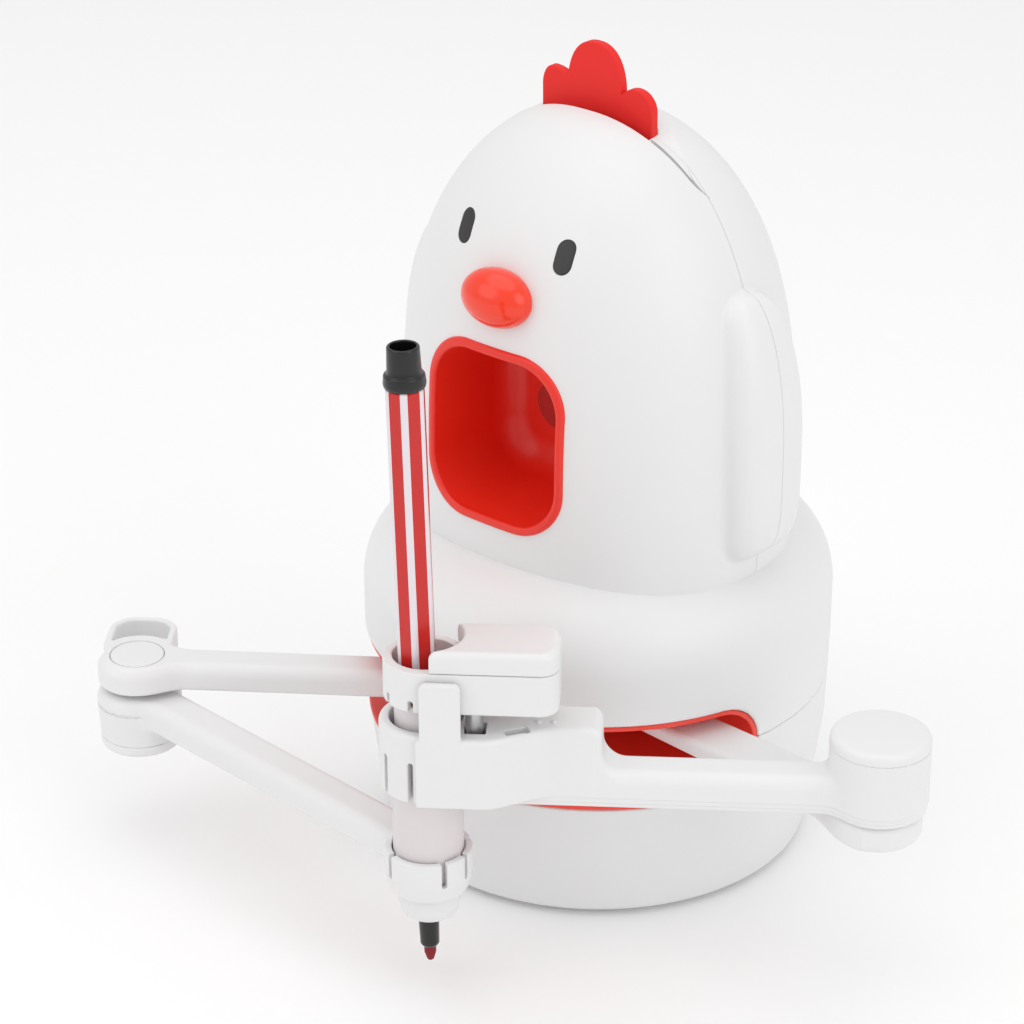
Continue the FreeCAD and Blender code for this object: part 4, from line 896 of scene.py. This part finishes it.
def shade_by(piece, fields):
    """Smooth shading from each field where a face lies on its surface, and flat on every other cut."""
    mesh = piece.data
    mesh.shade_smooth()
    spots = np.empty(len(mesh.vertices) * 3)
    mesh.vertices.foreach_get("co", spots)
    spots = spots.reshape(-1, 3) / MM
    flat = np.empty(len(mesh.polygons) * 3)
    mesh.polygons.foreach_get("normal", flat)
    corner = np.empty(len(mesh.loops), dtype=int)
    mesh.loops.foreach_get("vertex_index", corner)
    sides = np.empty(len(mesh.polygons), dtype=int)
    mesh.polygons.foreach_get("loop_total", sides)
    own = np.repeat(flat.reshape(-1, 3), sides, axis=0)
    wanted = own.copy()
    for field in fields:
        smooth = np.zeros_like(spots)
        near = np.abs(field(*spots.T)) < 0.06
        rise = slope(field, spots[near])
        smooth[near] = rise / np.maximum(np.linalg.norm(rise, axis=1), 1e-6)[:, None]
        agree = (own * smooth[corner]).sum(axis=1) > 0.72
        wanted[agree] = smooth[corner][agree]
    mesh.normals_split_custom_set(wanted.tolist())


def flute_field(x, y, z):
    beside = (np.abs(x) > 16.3) & (np.abs(x) < 29.0) & (y < flute_back(x)) & (y > comb_edge(x)) & (z > 160)
    return np.where(beside, z - flute_floor(x, y), 9.0)


def make_head_shell(name, side, node, blocks):
    points, faces = half_shell(side)
    piece = make_piece(name, points, faces, WHITE, "base", [node])
    face_outwards(piece.data)
    cut_out(piece, blocks)
    near, far = FLUTE_ENDS
    runs = ((-far, -near), (near, far))
    cut_out(piece, [slab(start, end, 0.8, flute_back, flute_floor) for start, end in runs])

    def outside(x, y, z):
        return soft_max(head_outside(x, y, z), side * (PARTING - y) + SEAM_GAP, SEAM_ROUND)

    def inside(x, y, z):
        return -egg(x, y, z) - HEAD_WALL

    shade_by(piece, [inside, outside, flute_field])


def make_head_shells():
    blocks = [slab(-COMB_HALF, COMB_HALF, 0.9, lambda x: 0.46, lambda x, y: 172.0)]
    beside = COMB_HALF + 0.1
    for start, end in ((-SLIT_END, -beside), (beside, SLIT_END)):
        blocks.append(slab(start, end, 0.8, slit_back, lambda x, y: 160.0))
    overlap = 0.35
    half = (MOUTH_HALF[0] - overlap, MOUTH_HALF[1] - overlap)
    mouth = rounded_outline((MOUTH_ASIDE, MOUTH_LEVEL), half, MOUTH_CORNER - overlap)
    openings = [prism(mouth, -60.0, -2.0)]
    for side in (-1, 1):
        place = (side * EYE_OUT + EYE_ASIDE, eye_level(side))
        openings.append(prism(rounded_outline(place, EYE_HALF, EYE_CORNER), -50.0, -15.0))
    make_head_shell("head_front_skin", -1, "head_front_shell", blocks + openings)
    make_head_shell("head_back_skin", 1, "head_back_shell", blocks)


def eye_pad(x, y, z):
    plain = egg(x, y, z)
    across, above = np.abs(x - EYE_ASIDE) - EYE_OUT, z - eye_level(np.sign(x))
    outline = rounded_rectangle(across, above, *EYE_HALF, EYE_CORNER)
    pad = soft_max(outline + 0.06, plain - 0.08, 0.25)
    return np.maximum(pad, -(plain + 1.3))


def mouth_tray(x, y, z):
    """A deep bowl with a proud rounded lip."""
    across, above = x - MOUTH_ASIDE, z - MOUTH_LEVEL
    outline = rounded_rectangle(across, above, *MOUTH_HALF, MOUTH_CORNER)
    plain = egg(x, y, z)
    body = soft_max(outline, plain - 0.85, 0.85)
    body = np.maximum(body, y + 11.6)
    depth = np.clip(y + 40.0, 0, 30)
    bowl = rounded_rectangle(x, above, 18.6 - 0.07 * depth, 20.2 - 0.1 * depth, 11.2)
    bowl = soft_max(bowl, y + 13.5, 6.5)
    tray = carve(body, bowl, 0.9)
    window = np.maximum(disc(x, above, 6.0), -14.2 - y)
    return carve(tray, window, 0.3)


def comb(x, y, z):
    """Two small lobes and one tall one on a straight foot."""
    foot = np.maximum(np.abs(x) - 16.4, z - 191.4)
    left = (np.hypot((x + 13.6) / np.where(x < -13.6, 2.8, 7.2), (z - 190.4) / 4.9) - 1) * 3.6
    right = disc(x, z, 5.0, (11.4, 189.6))
    tall = (np.abs((x + 0.7) / 8.1) ** 2.3 + (np.maximum(z - 191.6, 0) / 11.9) ** 2.3) ** (1 / 2.3)
    tall = (tall - 1) * 7.6
    plan = np.minimum(np.minimum(np.minimum(left, right), tall), np.maximum(foot, z - 190.0))
    sheet = soft_max(plan, np.abs(y - PARTING) - 1.2, 0.35)
    return np.maximum(sheet, -(egg(x, y, z) + 4.9))


def beak(x, y, z):
    out = np.sqrt(((x + 0.1) / 9.6) ** 2 + ((y + 37.2) / 6.3) ** 2 + ((z - 151.5) / 7.0) ** 2)
    return np.maximum((out - 1) * 7.0, -(egg(x, y, z) + 1.6))


def make_head():
    make_head_shells()
    for name, start, end in (("left_eye", -18.4, -12.0), ("right_eye", 12.0, 18.4)):
        sculpt(name + "_pad", eye_pad, (ticks(start, (end, 0.2)), ticks(-36.0, (-26.0, 0.25)),
                                        ticks(158.6, (168.2, 0.2))), EYE, "base", [name])
    sculpt("mouth_tray_skin", mouth_tray,
           (ticks(-21.6, (21.6, 0.42)), ticks(-44.0, (-11.0, 0.42)), ticks(94.0, (140.6, 0.42))),
           RED_MOUTH, "base", ["mouth_tray"])
    sculpt("comb_skin", comb,
           (ticks(-17.0, (17.0, 0.32)), ticks(-2.4, (0.8, 0.2)), ticks(166.0, (204.4, 0.36))),
           RED_COMB, "base", ["comb"])
    sculpt("beak_skin", beak,
           (ticks(-10.6, (10.6, 0.35)), ticks(-44.4, (-30.0, 0.35)), ticks(143.6, (159.6, 0.35))),
           RED_BEAK, "base", ["beak"])


# ---- base ---------------------------------------------------------------------------------------

BASE_RADIUS = 58.0
BASE_WALL = 2.2
SHOULDER_TOP = 86.0
SHOULDER_ROUND = 18.5
SLOT_MIDDLE = 43.8
SLOT_HALF = 11.4
SEAM = 44.8
REAR = 40.0


def slot_outline(x, y, z):
    """A band round the front whose ends are half round, seen along the rays at its ends."""
    turn = math.radians(70.0)
    beyond = np.abs(x) * math.cos(turn) + y * math.sin(turn)
    return np.where(beyond > 0, np.hypot(beyond, z - SLOT_MIDDLE), np.abs(z - SLOT_MIDDLE)) - SLOT_HALF


def slot_liner(x, y, z):
    outline = slot_outline(x, y, z)
    body = np.maximum(soft_max(outline + 0.05, np.hypot(x, y) - 57.5, 0.6), y + 2.9)
    hollow = soft_max(outline + 1.5, y + 4.5, 1.0)
    liner = carve(body, hollow, 0.55)
    return carve(liner, disc(x, y, 5.0, SHOULDER[:2]), 0.2)


def base_form(x, y, z):
    """The casing: a slight draft, a rounded heel and a wide round shoulder."""
    radius = np.interp(z, [3.6, 32.4, SEAM, 55.2], [53.4, 57.3, 57.7, BASE_RADIUS])
    form = soft_max(np.hypot(x, y) - radius, z - SHOULDER_TOP, SHOULDER_ROUND)
    return soft_max(form, 1.2 - z, 2.2)


def base_wall(x, y, z):
    form = base_form(x, y, z)
    wall = np.maximum(form, -(form + BASE_WALL))
    wall = carve(wall, np.maximum(slot_outline(x, y, z), y - 30.0), 0.7)
    button = disc(x, z - 64.0, 5.1)
    return carve(wall, np.maximum(button, REAR - y), 0.3)


def base_upper(x, y, z):
    wall = soft_max(base_wall(x, y, z), SEAM + 0.04 - z, 0.25)
    return np.maximum(wall, -disc(x, y, 28.5))


def base_lower(x, y, z):
    wall = soft_max(base_wall(x, y, z), z - SEAM + 0.04, 0.25)
    wall = np.maximum(wall, -np.maximum(disc(x, y, 49.1), z - 5.8))
    inlet = rounded_rectangle(x, z - 13.3, 4.8, 2.1, 1.0)
    return carve(wall, np.maximum(inlet, REAR - y), 0.3)


def make_base():
    wide = 58.8
    coarse, fine = ticks(-wide, (wide, 0.7)), ticks(-wide, (wide, 0.62))
    sculpt("base_upper_skin", base_upper,
           (coarse, coarse, ticks(43.9, (46.0, 0.25), (58.0, 0.68), (87.0, 0.8))),
           WHITE, "base", ["base_upper_shell"])
    sculpt("base_lower_skin", base_lower,
           (fine, fine, ticks(0.6, (34.0, 0.7), (43.6, 0.6), (45.4, 0.25))),
           WHITE, "base", ["base_lower_shell"])
    sculpt("slot_liner_skin", slot_liner,
           (ticks(-wide, (wide, 0.6)), ticks(-wide, (-2.0, 0.5)), ticks(31.8, (55.8, 0.5))),
           RED_LINER, "base", ["slot_liner"])


make_camera()
make_studio()
dress_cad_nodes()
make_base()
make_head()
make_arms()
make_holder()
make_pen()
